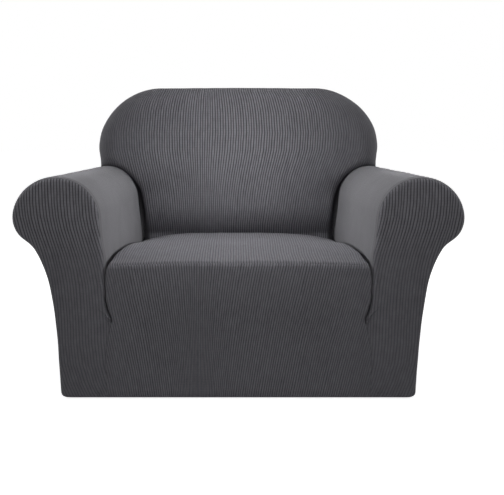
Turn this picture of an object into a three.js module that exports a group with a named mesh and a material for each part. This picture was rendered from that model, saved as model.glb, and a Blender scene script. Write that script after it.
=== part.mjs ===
/**
 * Fitted stretch slipcover of a wide roll-arm armchair, in the shape it takes on the chair.
 *
 * The cover is a hollow shell of eight sewn cloth panels: the inside back, the outside back, the
 * seat deck, the front apron, and for each arm a wrap and a front panel. The chair that carries it
 * is not part of the model. The cloth dips into tucks where the seat and the back meet the arms.
 *
 * Millimetres, +Z up, the front faces -Y, X = 0 is the centre line and Z = 0 is the hem.
 */
import * as THREE from "three";

// ---- Cloth ----
const CLOTH = 2; // thickness of the cloth
const SEAM = 0.45; // each panel stops this far short of its seam line
const TOUCH = 0.75; // gap between two panels that lie face to face in a tuck

// ---- Overall ----
const FRONT_Y = -440; // flat of the front panels
const REAR_Y = 440; // flat of the outside back
const EDGE = 16; // radius of the rounded edges of the arms, the apron and the outside back
const HALF_WAY = Math.PI / 4; // a seam on a rounded edge lies half way round it
const HEM_ROLL = 14; // radius with which the elastic hem turns under

// ---- Tucks ----
const TUCK_Z = 300; // bottom of the tucks beside and behind the seat
const TUCK_Y = 205; // rear end of the tucks between the back and the arms
const TUCK_ROLL = 30; // radius with which the back's face turns into its tucks
const CREASE_DEPTH = 40; // depth of the crease between the apron and an arm
const CREASE_END = 226; // height at which that crease runs out
const GROOVE = 1.2; // depth of the plain seam below it

// ---- Arms: one section, followed from the hem up the inner side and down the outer side ----
const ARM_X = 361; // inner side of the arm
const ARM_SECTION = [
  { part: "seam with the apron", length: TUCK_Z },
  { part: "tuck wall", length: 92 },
  { part: "start of lean", radius: 300, turn: -4.5 },
  { part: "inner face", length: 90 },
  { part: "roll", radius: 113, turn: -80.5 },
  { part: "crown of the roll", length: 2 },
  { part: "outer roll", radius: 121.5, turn: -86.5 },
  { part: "underside", radius: 70, turn: -60 },
  { part: "bridge", length: 19 },
  { part: "waist", radius: 67, turn: 21 },
  { part: "upper side", radius: 293, turn: 21.5 },
  { part: "lower side", radius: 1560, turn: 6.5 },
];

// ---- Back ----
const BACK_HALF = 538; // half the width of the back above the arms
const BACK_TOP = 906;
const BACK_CORNER = 240; // radius of its two top corners
const BACK_EDGE = { across: 85, deep: 95 }; // the soft edge of its face
const CHEST = { y: 115, z: 440 }; // the most forward line of its face
const BACK_LEAN = 0.00062; // how fast the face falls back above that line
const BACK_CROWN = 40; // how far the face falls back towards its sides
const TUCK_FLAT = 400; // below this height the face hangs plumb

// ---- Seat ----
const SEAT_Z = 381; // height of the front edge
const SEAT_CROWN = 8; // fullness half way back
const SEAT_DROP = 6; // fall towards the rear, and towards the sides
const APRON_HOLLOW = 7; // how far the apron lies behind its fullest line
const APRON_FULL = { z: 305, spread: 95 }; // that line, and how far it reaches up and down

const clamp = (t) => Math.min(1, Math.max(0, t));
const lerp = (a, b, t) => a + (b - a) * t;
const smooth = (from, to, x) => {
  const t = clamp((x - from) / (to - from));
  return t * t * (3 - 2 * t);
};
const steps = (from, to, count) => Array.from({ length: count + 1 }, (_, i) => lerp(from, to, i / count));
const joined = (...lists) => lists.flatMap((list, i) => (i ? list.slice(1) : list));

/** A smooth path of lines and arcs in the XZ plane. A normal lies to the left of the way it runs. */
class Path {
  constructor({ x, z, heading }, pieces) {
    let end = { x, z, heading: THREE.MathUtils.degToRad(heading) };
    let from = 0;
    this.pieces = pieces.map(({ radius, turn = 0, length = 0 }) => {
      const angle = THREE.MathUtils.degToRad(turn);
      const piece = { ...end, from, length: length || radius * Math.abs(angle), curve: 0 };
      piece.curve = angle / piece.length;
      end = Path.along(piece, piece.length);
      from += piece.length;
      return piece;
    });
    this.length = from;
    this.end = end;
  }

  static along({ x, z, heading, curve }, s) {
    const turned = heading + curve * s;
    if (curve === 0) return { x: x + s * Math.cos(heading), z: z + s * Math.sin(heading), heading };
    return {
      x: x + (Math.sin(turned) - Math.sin(heading)) / curve,
      z: z - (Math.cos(turned) - Math.cos(heading)) / curve,
      heading: turned,
    };
  }

  at(s) {
    const last = this.pieces[this.pieces.length - 1];
    const piece = this.pieces.find((p) => s <= p.from + p.length) ?? last;
    const { x, z, heading } = Path.along(piece, s - piece.from);
    return { x, z, nx: -Math.sin(heading), nz: Math.cos(heading) };
  }

  /** The distance along the path, between two others, from which a test holds. */
  where(test, from, to) {
    let [low, high] = [from, to];
    for (let i = 0; i < 40; i++) {
      const middle = (low + high) / 2;
      if (test(this.at(middle))) high = middle;
      else low = middle;
    }
    return high;
  }
}

/**
 * A cloth panel: quads that share their corners, thickened inwards into one closed solid. A point
 * on a seam may carry the seam's own normal, so that both panels end in one plane there.
 */
class Panel {
  constructor() {
    this.points = [];
    this.quads = [];
    this.found = new Map();
  }

  corner(p) {
    const key = [p.x, p.y, p.z].map((n) => Math.round(n * 100)).join();
    if (!this.found.has(key)) this.found.set(key, this.points.push(p) - 1);
    return this.found.get(key);
  }

  /** Adds rows of points. The outer face is on the side of column direction x row direction. */
  grid(rows, keep = () => true) {
    const at = rows.map((row) => row.map((p) => this.corner(p)));
    for (let i = 0; i + 1 < at.length; i++)
      for (let j = 0; j + 1 < at[i].length; j++)
        if (keep(i, j)) this.quads.push([at[i][j], at[i][j + 1], at[i + 1][j + 1], at[i + 1][j]]);
    return this;
  }

  /** Adds the right half of a symmetrical grid, whose columns run outwards, and its mirror image. */
  halves(rows) {
    const flip = (p) => ({ ...p, x: -p.x, normal: p.normal && { ...p.normal, x: -p.normal.x } });
    const mirrored = rows.map((row) => row.map(flip).reverse());
    return this.grid(rows).grid(mirrored);
  }

  /** The closed solid. Side -1 makes the mirrored one. */
  geometry(side = 1) {
    const outer = this.points.map((p) => new THREE.Vector3(p.x * side, p.y, p.z));
    const faces = this.quads
      .flatMap(([a, b, c, d]) => [[a, b, c], [a, c, d]])
      .filter(([a, b, c]) => a !== b && b !== c && c !== a)
      .map(([a, b, c]) => (side < 0 ? [a, c, b] : [a, b, c]));
    const normals = outer.map(() => new THREE.Vector3());
    for (const [a, b, c] of faces) {
      const along = outer[b].clone().sub(outer[a]);
      const normal = along.cross(outer[c].clone().sub(outer[a]));
      for (const i of [a, b, c]) normals[i].add(normal);
    }
    this.points.forEach(({ normal: n }, i) => n && normals[i].set(n.x * side, n.y, n.z));
    const inner = outer.map((p, i) => p.clone().addScaledVector(normals[i].normalize(), -CLOTH));
    const count = outer.length;
    const index = faces.flatMap(([a, b, c]) => [a, b, c, c + count, b + count, a + count]);
    const edges = new Set(faces.flatMap(([a, b, c]) => [`${a},${b}`, `${b},${c}`, `${c},${a}`]));
    for (const edge of edges) {
      const [a, b] = edge.split(",").map(Number);
      if (!edges.has(`${b},${a}`)) index.push(b, a, a + count, b, a + count, b + count);
    }
    const geometry = new THREE.BufferGeometry().setFromPoints([...outer, ...inner]);
    geometry.setIndex(index);
    geometry.computeVertexNormals();
    return geometry;
  }
}

/**
 * Stations from the flat of a panel over its rounded edge to the seam, which lies `depth` behind
 * the flat: how far each is from the seam's line, across the flat, and how deep behind the flat.
 */
function edge(radius, depth, count = 4) {
  const turn = depth < radius ? Math.acos(1 - depth / radius) : Math.PI / 2;
  const rolled = depth < radius ? count : count / 2;
  const wall = Math.max(0, depth - radius);
  return Array.from({ length: count + 1 }, (_, i) => {
    const short = i === count ? SEAM : 0;
    const angle = turn * Math.min(1, i / rolled) - (wall ? 0 : short / radius);
    const behind = wall * clamp((i - rolled) / (count - rolled || 1)) - (wall ? short : 0);
    return {
      inward: radius * (Math.sin(turn) - Math.sin(angle)),
      deep: radius * (1 - Math.cos(angle)) + Math.max(0, behind),
    };
  });
}

/** The same for an edge that turns by an angle and then runs straight back, in equal steps. */
function turnedEdge(radius, turn, wall, count = 4) {
  const length = radius * turn + wall;
  return steps(0, 1, count).map((t) => {
    const s = length * t - (t === 1 ? SEAM : 0);
    const angle = Math.min(turn, s / radius);
    return {
      inward: radius * (Math.sin(turn) - Math.sin(angle)),
      deep: radius * (1 - Math.cos(angle)) + Math.max(0, s - radius * turn),
    };
  });
}
const HALF_DEPTH = EDGE * (1 - Math.cos(HALF_WAY));
const halfEdge = edge(EDGE, HALF_DEPTH, 2);

const transposed = (grid) => grid[0].map((_, j) => grid.map((row) => row[j]));

/** Rows of points in a plane between four rows that bound it (a transfinite patch). */
function between(bottom, top, left, right) {
  const [columns, rows] = [bottom.length - 1, left.length - 1];
  const mix = (key, u, v, i, j) =>
    lerp(bottom[i][key], top[i][key], v) +
    lerp(left[j][key], right[j][key], u) -
    lerp(lerp(bottom[0][key], bottom[columns][key], u), lerp(top[0][key], top[columns][key], u), v);
  return left.map((_, j) =>
    bottom.map((_, i) => {
      const [u, v] = [i / columns, j / rows];
      return { x: mix("x", u, v, i, j), z: mix("z", u, v, i, j) };
    }));
}

/** How far the cloth is drawn in at a height above the hem. */
const hemInset = (z) => HEM_ROLL * (1 - Math.sqrt(1 - (1 - clamp(z / HEM_ROLL)) ** 2));
const HEM_ROWS = [0, 0.12, 0.45, 1].map((t) => t * HEM_ROLL);

// ---- The arm's section and its stations ----
const armStart = { x: ARM_X, z: 0, heading: 90 };
const unfooted = new Path(armStart, ARM_SECTION).end;
const foot = { part: "foot", length: unfooted.z / -Math.sin(unfooted.heading) };
const armPath = new Path(armStart, [...ARM_SECTION, foot]);
const armEnd = armPath.length;
const starts = Object.fromEntries(ARM_SECTION.map(({ part }, i) => [part, armPath.pieces[i].from]));
const rollTop = starts["crown of the roll"];

/** Stations over the soft edge of the back's face: how far in from the outline, and how far back. */
const softEdge = steps(0, Math.PI / 2, 4).map((angle) => ({
  inset: BACK_EDGE.across * (1 - Math.sin(angle)),
  back: BACK_EDGE.deep * (1 - Math.cos(angle)),
}));
/** Where the soft edge's stations stand on the roll of the arm. */
const standing = softEdge.map(({ inset }) =>
  armPath.where((p) => p.x > BACK_HALF - inset, starts.roll, starts.underside));

const innerStations = joined(
  HEM_ROWS,
  steps(HEM_ROLL, CREASE_END, 2),
  steps(CREASE_END, TUCK_Z, 3),
  steps(TUCK_Z, SEAT_Z, 3),
  steps(SEAT_Z, starts.roll, 3),
);
const rollStations = joined(
  steps(starts.roll, standing[0], 4),
  standing,
  steps(standing[4], starts.underside, 4),
);
const outerStations = joined(
  steps(starts.underside, starts.bridge, 3),
  steps(starts.bridge, starts.waist, 1),
  steps(starts.waist, starts["upper side"], 3),
  steps(starts["upper side"], starts["lower side"], 2),
  steps(starts["lower side"], armEnd - HEM_ROLL, 3),
  HEM_ROWS.map((z) => armEnd - z).reverse(),
);
const armStations = joined(innerStations, rollStations, outerStations);

/** Depth of the crease between the apron and an arm. */
const creaseDepth = (z) => lerp(GROOVE, CREASE_DEPTH, smooth(CREASE_END, TUCK_Z, z));

/** How far the arm's front edge is rounded: 1 in the open, 0 inside the tuck beside the seat. */
const rounded = (s) => (s > rollTop ? 1 : smooth(TUCK_Z, SEAT_Z, armPath.at(s).z));

const armTurn = (s) => lerp(Math.PI / 2, HALF_WAY, rounded(s));

/** The front edge of an arm: stations from its front panel to the seam. */
function armEdge(s) {
  if (s < TUCK_Z) return edge(EDGE, creaseDepth(armPath.at(s).z));
  return turnedEdge(EDGE, armTurn(s), (CREASE_DEPTH - EDGE) * (1 - rounded(s)));
}
const armSeamDepth = (s) =>
  s < TUCK_Z
    ? creaseDepth(armPath.at(s).z)
    : EDGE * (1 - Math.cos(armTurn(s))) + (CREASE_DEPTH - EDGE) * (1 - rounded(s));

/** A point of the arm's section, moved inwards. The outer side is drawn in at the hem too. */
function armInset(s, inset) {
  const { x, z, nx, nz } = armPath.at(s);
  if (s > rollTop && z < HEM_ROLL + EDGE) return { x: x - nx * (inset + hemInset(z)), z };
  return { x: x - nx * inset, z: s < TUCK_Z ? z : z - nz * inset };
}

/** A point of the front panels, `deep` behind their flat. */
function front({ x, z }, deep) {
  const full = Math.exp(-(((z - APRON_FULL.z) / APRON_FULL.spread) ** 2));
  const hollow = APRON_HOLLOW * (1 - full) * (1 - smooth(ARM_X - 120, ARM_X - 20, Math.abs(x)));
  return { x, y: FRONT_Y + hollow + deep + hemInset(z), z };
}

/** The normal on the seam of the arm's front edge (-1) or rear edge (1), above the crease. */
function armSeamNormal(s, y) {
  const { nx, nz } = armPath.at(s);
  const turn = armTurn(s);
  if (s < TUCK_Z) return undefined;
  return { x: nx * Math.sin(turn), y: y * Math.cos(turn), z: nz * Math.sin(turn) };
}

/** The front panel of an arm: a flat field, and a rim that runs up one side and down the other. */
function armFront() {
  const rims = armStations.map((s) =>
    armEdge(s).map(({ inward, deep }, k) => ({
      ...armInset(s, rounded(s) * HALF_DEPTH + inward),
      deep,
      normal: k === 4 ? armSeamNormal(s, -1) : undefined,
    })));
  const field = rims.map(([first]) => first);
  const rows = outerStations.length + 1;
  const columns = field.length - 1 - 2 * rows;
  const left = field.slice(0, rows + 1);
  const top = field.slice(rows, rows + columns + 1);
  const right = field.slice(rows + columns).reverse();
  const bottom = steps(0, 1, columns).map((t) => ({ x: lerp(left[0].x, right[0].x, t), z: 0 }));
  const flat = between(bottom, top, left, right).map((row) => row.map((p) => front(p, 0)));
  const rim = rims.map((stations) => stations.map((p) => ({ ...front(p, p.deep), normal: p.normal })));
  return new Panel().grid(flat).grid(transposed(rim));
}

/** The wrap of an arm, from the tuck over the roll to the hem. */
function armWrap() {
  const rows = armStations.filter((s) => s > TUCK_Z - 1e-6);
  const [bodyColumns, rearColumns] = [3, 2];
  const grid = rows.map((s) => {
    const hem = s > rollTop ? hemInset(armPath.at(s).z) : 0;
    const at = (y, deep) => ({ ...armInset(s, deep), y });
    const frontSeam = FRONT_Y + armSeamDepth(s) + hem;
    const rearSeam = REAR_Y - HALF_DEPTH - hem;
    const [wide] = halfEdge.map(({ inward }) => inward);
    const frontRim = halfEdge.map(({ inward, deep }) => at(frontSeam + inward, deep * rounded(s)));
    const body = steps(frontSeam + wide, TUCK_Y, bodyColumns).slice(1).map((y) => at(y, 0));
    const rear = steps(TUCK_Y, rearSeam - wide, rearColumns).slice(1).map((y) => at(y, 0));
    const rearRim = halfEdge.slice(1).map(({ inward, deep }) => at(rearSeam - inward, deep));
    frontRim[frontRim.length - 1].normal = armSeamNormal(s, -1);
    rearRim[rearRim.length - 1].normal = armSeamNormal(s, 1);
    return [...frontRim.reverse(), ...body, ...rear, ...rearRim];
  });
  const cut = halfEdge.length - 1 + bodyColumns;
  const rim = grid[0].length - halfEdge.length;
  const free = rows.indexOf(standing[3]);
  return new Panel().grid(transposed(grid), (i, j) => i < cut || j >= (i < rim ? free : free + 1));
}

// ---- The seat and the apron, which share the seam along the seat's front edge ----
const SEAT_X = ARM_X - TOUCH;
const seatDepth = SEAT_Z - 2 * SEAT_DROP - TUCK_Z;
const apronEdge = edge(EDGE, CREASE_DEPTH);
const seatEdge = edge(EDGE, seatDepth);

/** The face of the back, before its edges turn. */
function backFaceY(x, z) {
  const half = lerp(ARM_X, BACK_HALF, smooth(500, 640, z));
  return CHEST.y + BACK_LEAN * (Math.max(z, TUCK_FLAT) - CHEST.z) ** 2 + BACK_CROWN * (x / half) ** 2;
}

/** The top of the seat, before its edges turn. */
function seatTop(x, y) {
  const t = clamp((y - FRONT_Y) / (CHEST.y - FRONT_Y));
  return SEAT_Z + SEAT_CROWN * Math.sin(Math.PI * t) - SEAT_DROP * (t + (x / SEAT_X) ** 2);
}

/** The right half's columns: fractions across the flat, then the stations of the rounded edge. */
const halfColumns = [
  ...steps(0, 1, 4).slice(0, -1).map((across) => ({ across, k: 0 })),
  ...apronEdge.map((_, k) => ({ across: 1, k })),
];
const columnX = ({ across, k }, stations) => across * (SEAT_X - stations[k].inward);

/** The seam between the seat and the apron: over the corner it runs down into the tuck. */
function frontSeam(column) {
  const x = columnX(column, apronEdge);
  const z = seatTop(x, FRONT_Y) - Math.hypot(seatEdge[column.k].deep, HALF_DEPTH);
  const turned = Math.min(1, column.k / 2) * (Math.PI / 2);
  const open = Math.cos(turned) * Math.SQRT1_2;
  return {
    x,
    y: front({ x, z }, Math.hypot(apronEdge[column.k].deep, HALF_DEPTH)).y,
    z,
    normal: { x: Math.sin(turned), y: -open, z: open },
  };
}

/** The columns of the apron's right half, each from the hem to the front seam. */
function frontApron() {
  const lowRows = joined(HEM_ROWS, steps(HEM_ROLL, CREASE_END, 3), steps(CREASE_END, TUCK_Z - 20, 3));
  const grid = halfColumns.map((column) => {
    const { k } = column;
    const seam = frontSeam(column);
    const point = (z) => {
      const stations = edge(EDGE, creaseDepth(z));
      return front({ x: columnX(column, stations), z }, stations[k].deep);
    };
    const rows = joined(lowRows, steps(TUCK_Z - 20, seam.z - halfEdge[0].inward, 3)).map(point);
    const turned = halfEdge.slice(1).map(({ inward, deep }) => {
      const z = seam.z - inward;
      return { x: seam.x, y: front({ x: seam.x, z }, Math.hypot(apronEdge[k].deep, deep)).y, z };
    });
    turned[turned.length - 1].normal = seam.normal;
    return [...rows, ...turned];
  });
  return new Panel().halves(transposed(grid));
}

/** In the seat's rear corners both walls run down one line: the depth at the deeper station. */
function cornerDeep(deeper, k) {
  const deep = Math.max(seatEdge[deeper].deep, EDGE * Math.SQRT2);
  return Math.sqrt(Math.max(0, deep ** 2 - seatEdge[k].deep ** 2));
}

/** The seat, from the front seam to the bottom of the tuck behind it. */
function seatDeck() {
  const grid = halfColumns.map((column) => {
    const seam = frontSeam(column);
    const { x } = seam;
    const rear = backFaceY(x, 0) - TOUCH;
    const point = (y, deep) => {
      const down = Math.min(seatDepth, Math.hypot(seatEdge[column.k].deep, deep));
      return { x, y, z: seatTop(x, y) - down };
    };
    const tuckPoint = ({ inward, deep }, m) => {
      const bothDown = column.k > 1 && m > 0;
      return point(rear - inward, bothDown ? cornerDeep(Math.max(column.k, m + 1), column.k) : deep);
    };
    const turned = halfEdge.map(({ inward, deep }) => point(seam.y + inward, deep)).reverse();
    turned[0].normal = seam.normal;
    const flat = steps(seam.y + halfEdge[0].inward, rear - seatEdge[0].inward, 5).slice(1);
    const tuck = seatEdge.slice(1).map(tuckPoint);
    return [...turned, ...flat.map((y) => point(y, 0)), ...tuck];
  });
  return new Panel().halves(transposed(grid));
}

// ---- The back ----
const seated = armPath.at(standing[4]);
const sideLength = BACK_TOP - BACK_CORNER - seated.z;
const cornerLength = (BACK_CORNER * Math.PI) / 2;
const topLength = BACK_HALF - BACK_CORNER; // from the centre line
const backPath = new Path({ x: 0, z: BACK_TOP, heading: 180 }, [
  { part: "half the top", length: topLength },
  { part: "corner", radius: BACK_CORNER, turn: 90 },
  { part: "side", length: sideLength },
]);

/** A point of the right half of the back's outline, at a distance from the centre of the top. */
const backAt = (s) => {
  const { x, z, nx, nz } = backPath.at(s);
  return { x: -x, z, nx, nz: -nz };
};
const rearSeamY = REAR_Y - HALF_DEPTH;

/** From the face over the soft edge and along the side to the rear seam, at a point of the outline. */
function freeEdge({ x, z, nx, nz }) {
  const at = (inset) => ({ x: x - nx * inset, z: z - nz * inset });
  const soft = softEdge.map(({ inset, back }) => {
    const p = at(inset);
    return { ...p, y: backFaceY(p.x, p.z) + back };
  });
  const side = steps(soft[4].y, rearSeamY - halfEdge[0].inward, 2).slice(1).map((y) => ({ ...at(0), y }));
  const rear = halfEdge.slice(1).map(({ inward, deep }) => ({ ...at(deep), y: rearSeamY - inward }));
  rear[rear.length - 1].normal = { x: nx, y: 1, z: nz };
  return [...soft, ...side, ...rear];
}

/** From the face into the tuck against the arm, at a distance along the arm's section. */
function tuckEdge(s) {
  const { x, z, nx, nz } = armPath.at(s);
  const turned = steps(0, Math.PI / 2, 2).map((angle) => {
    const out = TOUCH + TUCK_ROLL * (1 - Math.sin(angle));
    const back = TUCK_ROLL * (1 - Math.cos(angle));
    const p = { x: x + nx * out, z: z + nz * out };
    return { ...p, y: backFaceY(p.x, p.z) + back, out, back };
  });
  const end = turned[2];
  return [...turned, { ...end, y: TUCK_Y, back: end.back + TUCK_Y - end.y }];
}

/** The inside back: face, soft edge, tucks, and the corners that stand on the arms. */
function backInside() {
  const panel = new Panel();
  const lower = armStations.filter((s) => s > TUCK_Z - 1e-6 && s < starts.roll + 1e-6);
  const onRoll = armStations.filter((s) => s > starts.roll - 1e-6 && s < standing[0] + 1e-6);
  const tucks = [...lower, ...onRoll.slice(1)].map(tuckEdge);
  const across = ({ x, z }, count) => steps(0, x, count).map((px) => ({ x: px, y: backFaceY(px, z), z }));
  const lowFace = lower.map((s) => across(tuckEdge(s)[0], 4));

  const cornerStation = topLength + cornerLength / 2;
  const topStations = joined(steps(0, topLength, 5), steps(topLength, cornerStation, 3));
  const foot = TUCK_ROLL + TOUCH;
  const sideStations = joined(
    steps(cornerStation, topLength + cornerLength, 3),
    steps(topLength + cornerLength, backPath.length - foot, 2),
  );
  const bottom = [...lowFace[lowFace.length - 1], ...tucks.slice(lower.length).map((t) => t[0])];
  const inset = (s) => freeEdge(backAt(s))[0];
  const top = topStations.map(inset);
  const right = sideStations.slice(0, -1).map(inset).reverse();
  const left = steps(bottom[0].z, top[0].z, right.length).map((z) => ({ x: 0, z }));
  const face = between(bottom, top, left, [bottom[bottom.length - 1], ...right]);
  const highFace = face.map((row) => row.map(({ x, z }) => ({ x, y: backFaceY(x, z), z })));

  const footRow = standingFoot(foot);
  const rims = joined(topStations, sideStations.slice(0, -1)).map((s) => freeEdge(backAt(s)));
  const corner = [0, 1, 2, 3].map((j) => footRow(j));
  panel.halves(lowFace);
  panel.halves(highFace);
  panel.halves(tucks);
  panel.halves([...corner].reverse());
  panel.halves([...rims, corner[0]].reverse());
  return panel;
}

/** Rows of the corner of the back that stands on an arm, from the face (0) to the seam (3). */
function standingFoot(height) {
  const walls = freeEdge({ x: BACK_HALF, z: seated.z + height, nx: 1, nz: 0 });
  return (j) => walls.map((wall, i) => {
    const s = standing[Math.min(i, 4)];
    const p = armPath.at(s);
    const { out, back } = tuckEdge(s)[i > 1 ? Math.min(j, 2) : j];
    const upright = smooth(BACK_HALF - BACK_EDGE.across, BACK_HALF, p.x);
    const [nx, nz] = [lerp(p.nx, 0, upright), lerp(p.nz, 1, upright)];
    const x = p.x + nx * out - (i > 4 ? BACK_HALF - wall.x : 0);
    const z = p.z + nz * out + (i > 3 ? CLOTH / 2 : 0);
    const y = backFaceY(x, z) + Math.max(back, i < 5 ? softEdge[i].back : 0);
    return { x, y: i > 4 ? wall.y : y, z, normal: wall.normal };
  });
}

/** The outside back: rows from the hem to the top, then the rounded edge all round. */
function backOutside() {
  const sides = armStations.filter((s) => s > standing[4] - 1e-6).reverse().map((s) => {
    const { x, z, nx, nz } = armPath.at(s);
    return { x: x - (z < HEM_ROLL ? hemInset(z) : 0), z, nx, nz: z < HEM_ROLL + EDGE ? 0 : nz };
  });
  sides[sides.length - 1] = { ...seated, nx: 1, nz: (1 - seated.nx) / seated.nz };
  const sideEnd = backPath.length;
  const up = joined(
    [sideEnd, sideEnd - 2 * EDGE],
    steps(sideEnd - 2 * EDGE, topLength + cornerLength, 1),
    steps(topLength + cornerLength, topLength, 6),
  );
  const outline = [...sides, ...up.slice(1).map(backAt)];
  const rim = ({ x, z, nx, nz }) => halfEdge.map(({ inward, deep }, k) => {
    const inset = HALF_DEPTH + inward;
    const normal = k === 2 ? { x: nx, y: 1, z: nz } : undefined;
    return { x: x - nx * inset, y: REAR_Y - deep - hemInset(z), z: z - nz * inset, normal };
  });
  const rims = outline.map(rim);
  const rows = rims.map(([first]) => steps(0, first.x, 4).map((x) => ({ ...first, x })));
  const overTop = steps(0, topLength, 4).map((s) => rim(backAt(s)));
  const flipped = (grid) => grid.map((row) => [...row]).reverse();
  return new Panel().halves(flipped(rows)).halves(flipped(rims)).halves(flipped(transposed(overTop)));
}

// ---- The cover ----
const CHARCOAL = 0x626166;
const cover = new THREE.Group();
const sew = (name, panel, side = 1) => {
  const cloth = new THREE.MeshStandardMaterial({ color: CHARCOAL, roughness: 0.9, metalness: 0 });
  const mesh = new THREE.Mesh(panel.geometry(side), cloth);
  mesh.name = name;
  cover.add(mesh);
};
sew("back_inside", backInside());
sew("back_outside", backOutside());
sew("seat_deck", seatDeck());
sew("front_apron", frontApron());
for (const [name, side] of [["left", -1], ["right", 1]]) {
  sew(`arm_wrap_${name}`, armWrap(), side);
  sew(`arm_front_${name}`, armFront(), side);
}
export default cover;
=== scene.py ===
"""Finished look of a fitted stretch slipcover for a wide roll-arm armchair.

The cover is eight sewn panels of ribbed stretch cloth, drawn tight over a chair that is not shown:
the inside and the outside of the back, the seat deck, the front apron, and for each arm a wrap and
a front panel. Each panel is a closed shell of cloth, made from rows of points that follow its
shape on the chair. Every point also knows its place on the cloth laid flat, and the ribs of the
weave follow that, so they lean and crowd where the cloth is pulled.

Metres, +Z up, the front faces -Y.
"""

import logging
import math
from collections.abc import Callable, Iterable, Sequence
from dataclasses import dataclass, field
from enum import Enum
from itertools import pairwise
from typing import Self

import bpy
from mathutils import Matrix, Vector, kdtree, noise


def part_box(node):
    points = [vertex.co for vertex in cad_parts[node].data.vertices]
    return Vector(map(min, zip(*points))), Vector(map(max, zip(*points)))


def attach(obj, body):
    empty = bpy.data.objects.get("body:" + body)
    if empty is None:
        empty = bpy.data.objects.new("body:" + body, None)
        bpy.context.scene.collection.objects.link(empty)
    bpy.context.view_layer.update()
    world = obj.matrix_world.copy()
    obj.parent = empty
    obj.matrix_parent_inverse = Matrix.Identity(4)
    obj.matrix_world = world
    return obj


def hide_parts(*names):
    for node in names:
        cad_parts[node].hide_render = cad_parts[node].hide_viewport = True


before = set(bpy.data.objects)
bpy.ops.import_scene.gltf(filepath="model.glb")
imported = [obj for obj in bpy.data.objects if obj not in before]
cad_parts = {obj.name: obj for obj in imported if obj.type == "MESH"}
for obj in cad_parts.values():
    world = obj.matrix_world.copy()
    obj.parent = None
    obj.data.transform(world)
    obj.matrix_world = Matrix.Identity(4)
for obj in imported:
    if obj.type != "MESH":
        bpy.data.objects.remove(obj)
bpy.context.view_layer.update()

log = logging.getLogger("slipcover")

Flat = tuple[float, float]  # a point of the cloth laid flat, or of a section
Step = tuple[float, float]  # where a soft step starts and where it ends
Table = tuple[tuple[float, float], ...]  # rising places, and a value at each
Quad = tuple[int, ...]  # the corners of a face

BACK_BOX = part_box("back_inside")
FRONT_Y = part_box("arm_front_right")[0].y  # flat of the front panels
REAR_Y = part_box("back_outside")[1].y  # flat of the outside back
ARM_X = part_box("arm_wrap_right")[0].x  # inner side of an arm
TUCK_Z = round(BACK_BOX[0].z, 3)  # bottom of the tucks beside and behind the seat
BACK_HALF = BACK_BOX[1].x - 0.0015  # half the width of the back above the arms
BACK_TOP = BACK_BOX[1].z

CLOTH = 0.002  # thickness of the cloth
SEAM = 0.00016  # each panel stops this far short of its seam line,
SEAM_PART = 80  # or this part of the edge before it, where that is less
# The cloth turned in at a seam: how deep each step lies, and how far it leans across the seam.
ALLOWANCE = ((0.0032, 0.0002), (0.0075, 0.0006))
TOUCH = 0.00075  # gap between two panels that lie face to face in a tuck
EDGE = 0.016  # radius of the rounded edges of the arms, the apron and the outside back
HALF_DEPTH = EDGE * (1 - math.sqrt(0.5))  # depth of a seam half way round such an edge
HEM_ROLL = 0.014  # radius with which the elastic hem turns under
CELL = 0.008  # usual distance between the points of a panel
HAIR = 1e-6  # a distance too small to matter
SEED = 5  # of the noise by which the padding under the cloth wanders


def clamp(t: float) -> float:
    """Returns t, held between 0 and 1."""
    return min(1.0, max(0.0, t))


def lerp(a: float, b: float, t: float) -> float:
    """Returns the value a share t of the way from a to b."""
    return a + (b - a) * t


def smooth(start: float, end: float, x: float) -> float:
    """Returns a soft step that rises from 0 at start to 1 at end."""
    t = clamp((x - start) / (end - start))
    return t * t * (3 - 2 * t)


def steps(start: float, end: float, count: int) -> list[float]:
    """Returns count + 1 values from start to end, evenly spaced."""
    return [lerp(start, end, i / count) for i in range(count + 1)]


def spread(start: float, end: float, cell: float = CELL) -> list[float]:
    """Returns even steps from start to end that are about one cell apart."""
    return steps(start, end, max(1, round(abs(end - start) / cell)))


def joined(*lists: Sequence[float]) -> list[float]:
    """Returns the lists as one, without the first value of each after the first."""
    return [value for i, part in enumerate(lists) for value in part[min(i, 1) :]]


def interpolated(table: Table, x: float) -> float:
    """Reads a short table.

    Args:
        table: Rising places, and a value at each.
        x: The place to read at.

    Returns:
        The value there, in proportion between its neighbours. Outside the table its ends hold.
    """
    for (x0, y0), (x1, y1) in pairwise(table):
        if x <= x1:
            return lerp(y0, y1, clamp((x - x0) / (x1 - x0)))
    return table[-1][1]


# ---- Paths, points and panels ----


@dataclass(frozen=True)
class Stretch:
    """One stretch of a path: a line of some length, or an arc."""

    length: float = 0.0  # length of a line
    radius: float = 0.0  # radius of an arc
    turn: float = 0.0  # degrees through which the arc turns, to the left if positive


@dataclass(frozen=True)
class Place:
    """A point of a path in the XZ plane, with the normal to the left of the way it runs."""

    x: float
    z: float
    nx: float
    nz: float

    def moved(self, out: float) -> Flat:
        """Returns the point a distance out along the normal."""
        return self.x + self.nx * out, self.z + self.nz * out

    def shifted(self, out: float) -> "Place":
        """Returns the place a distance out along the normal, with the same normal."""
        return Place(*self.moved(out), self.nx, self.nz)


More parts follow.
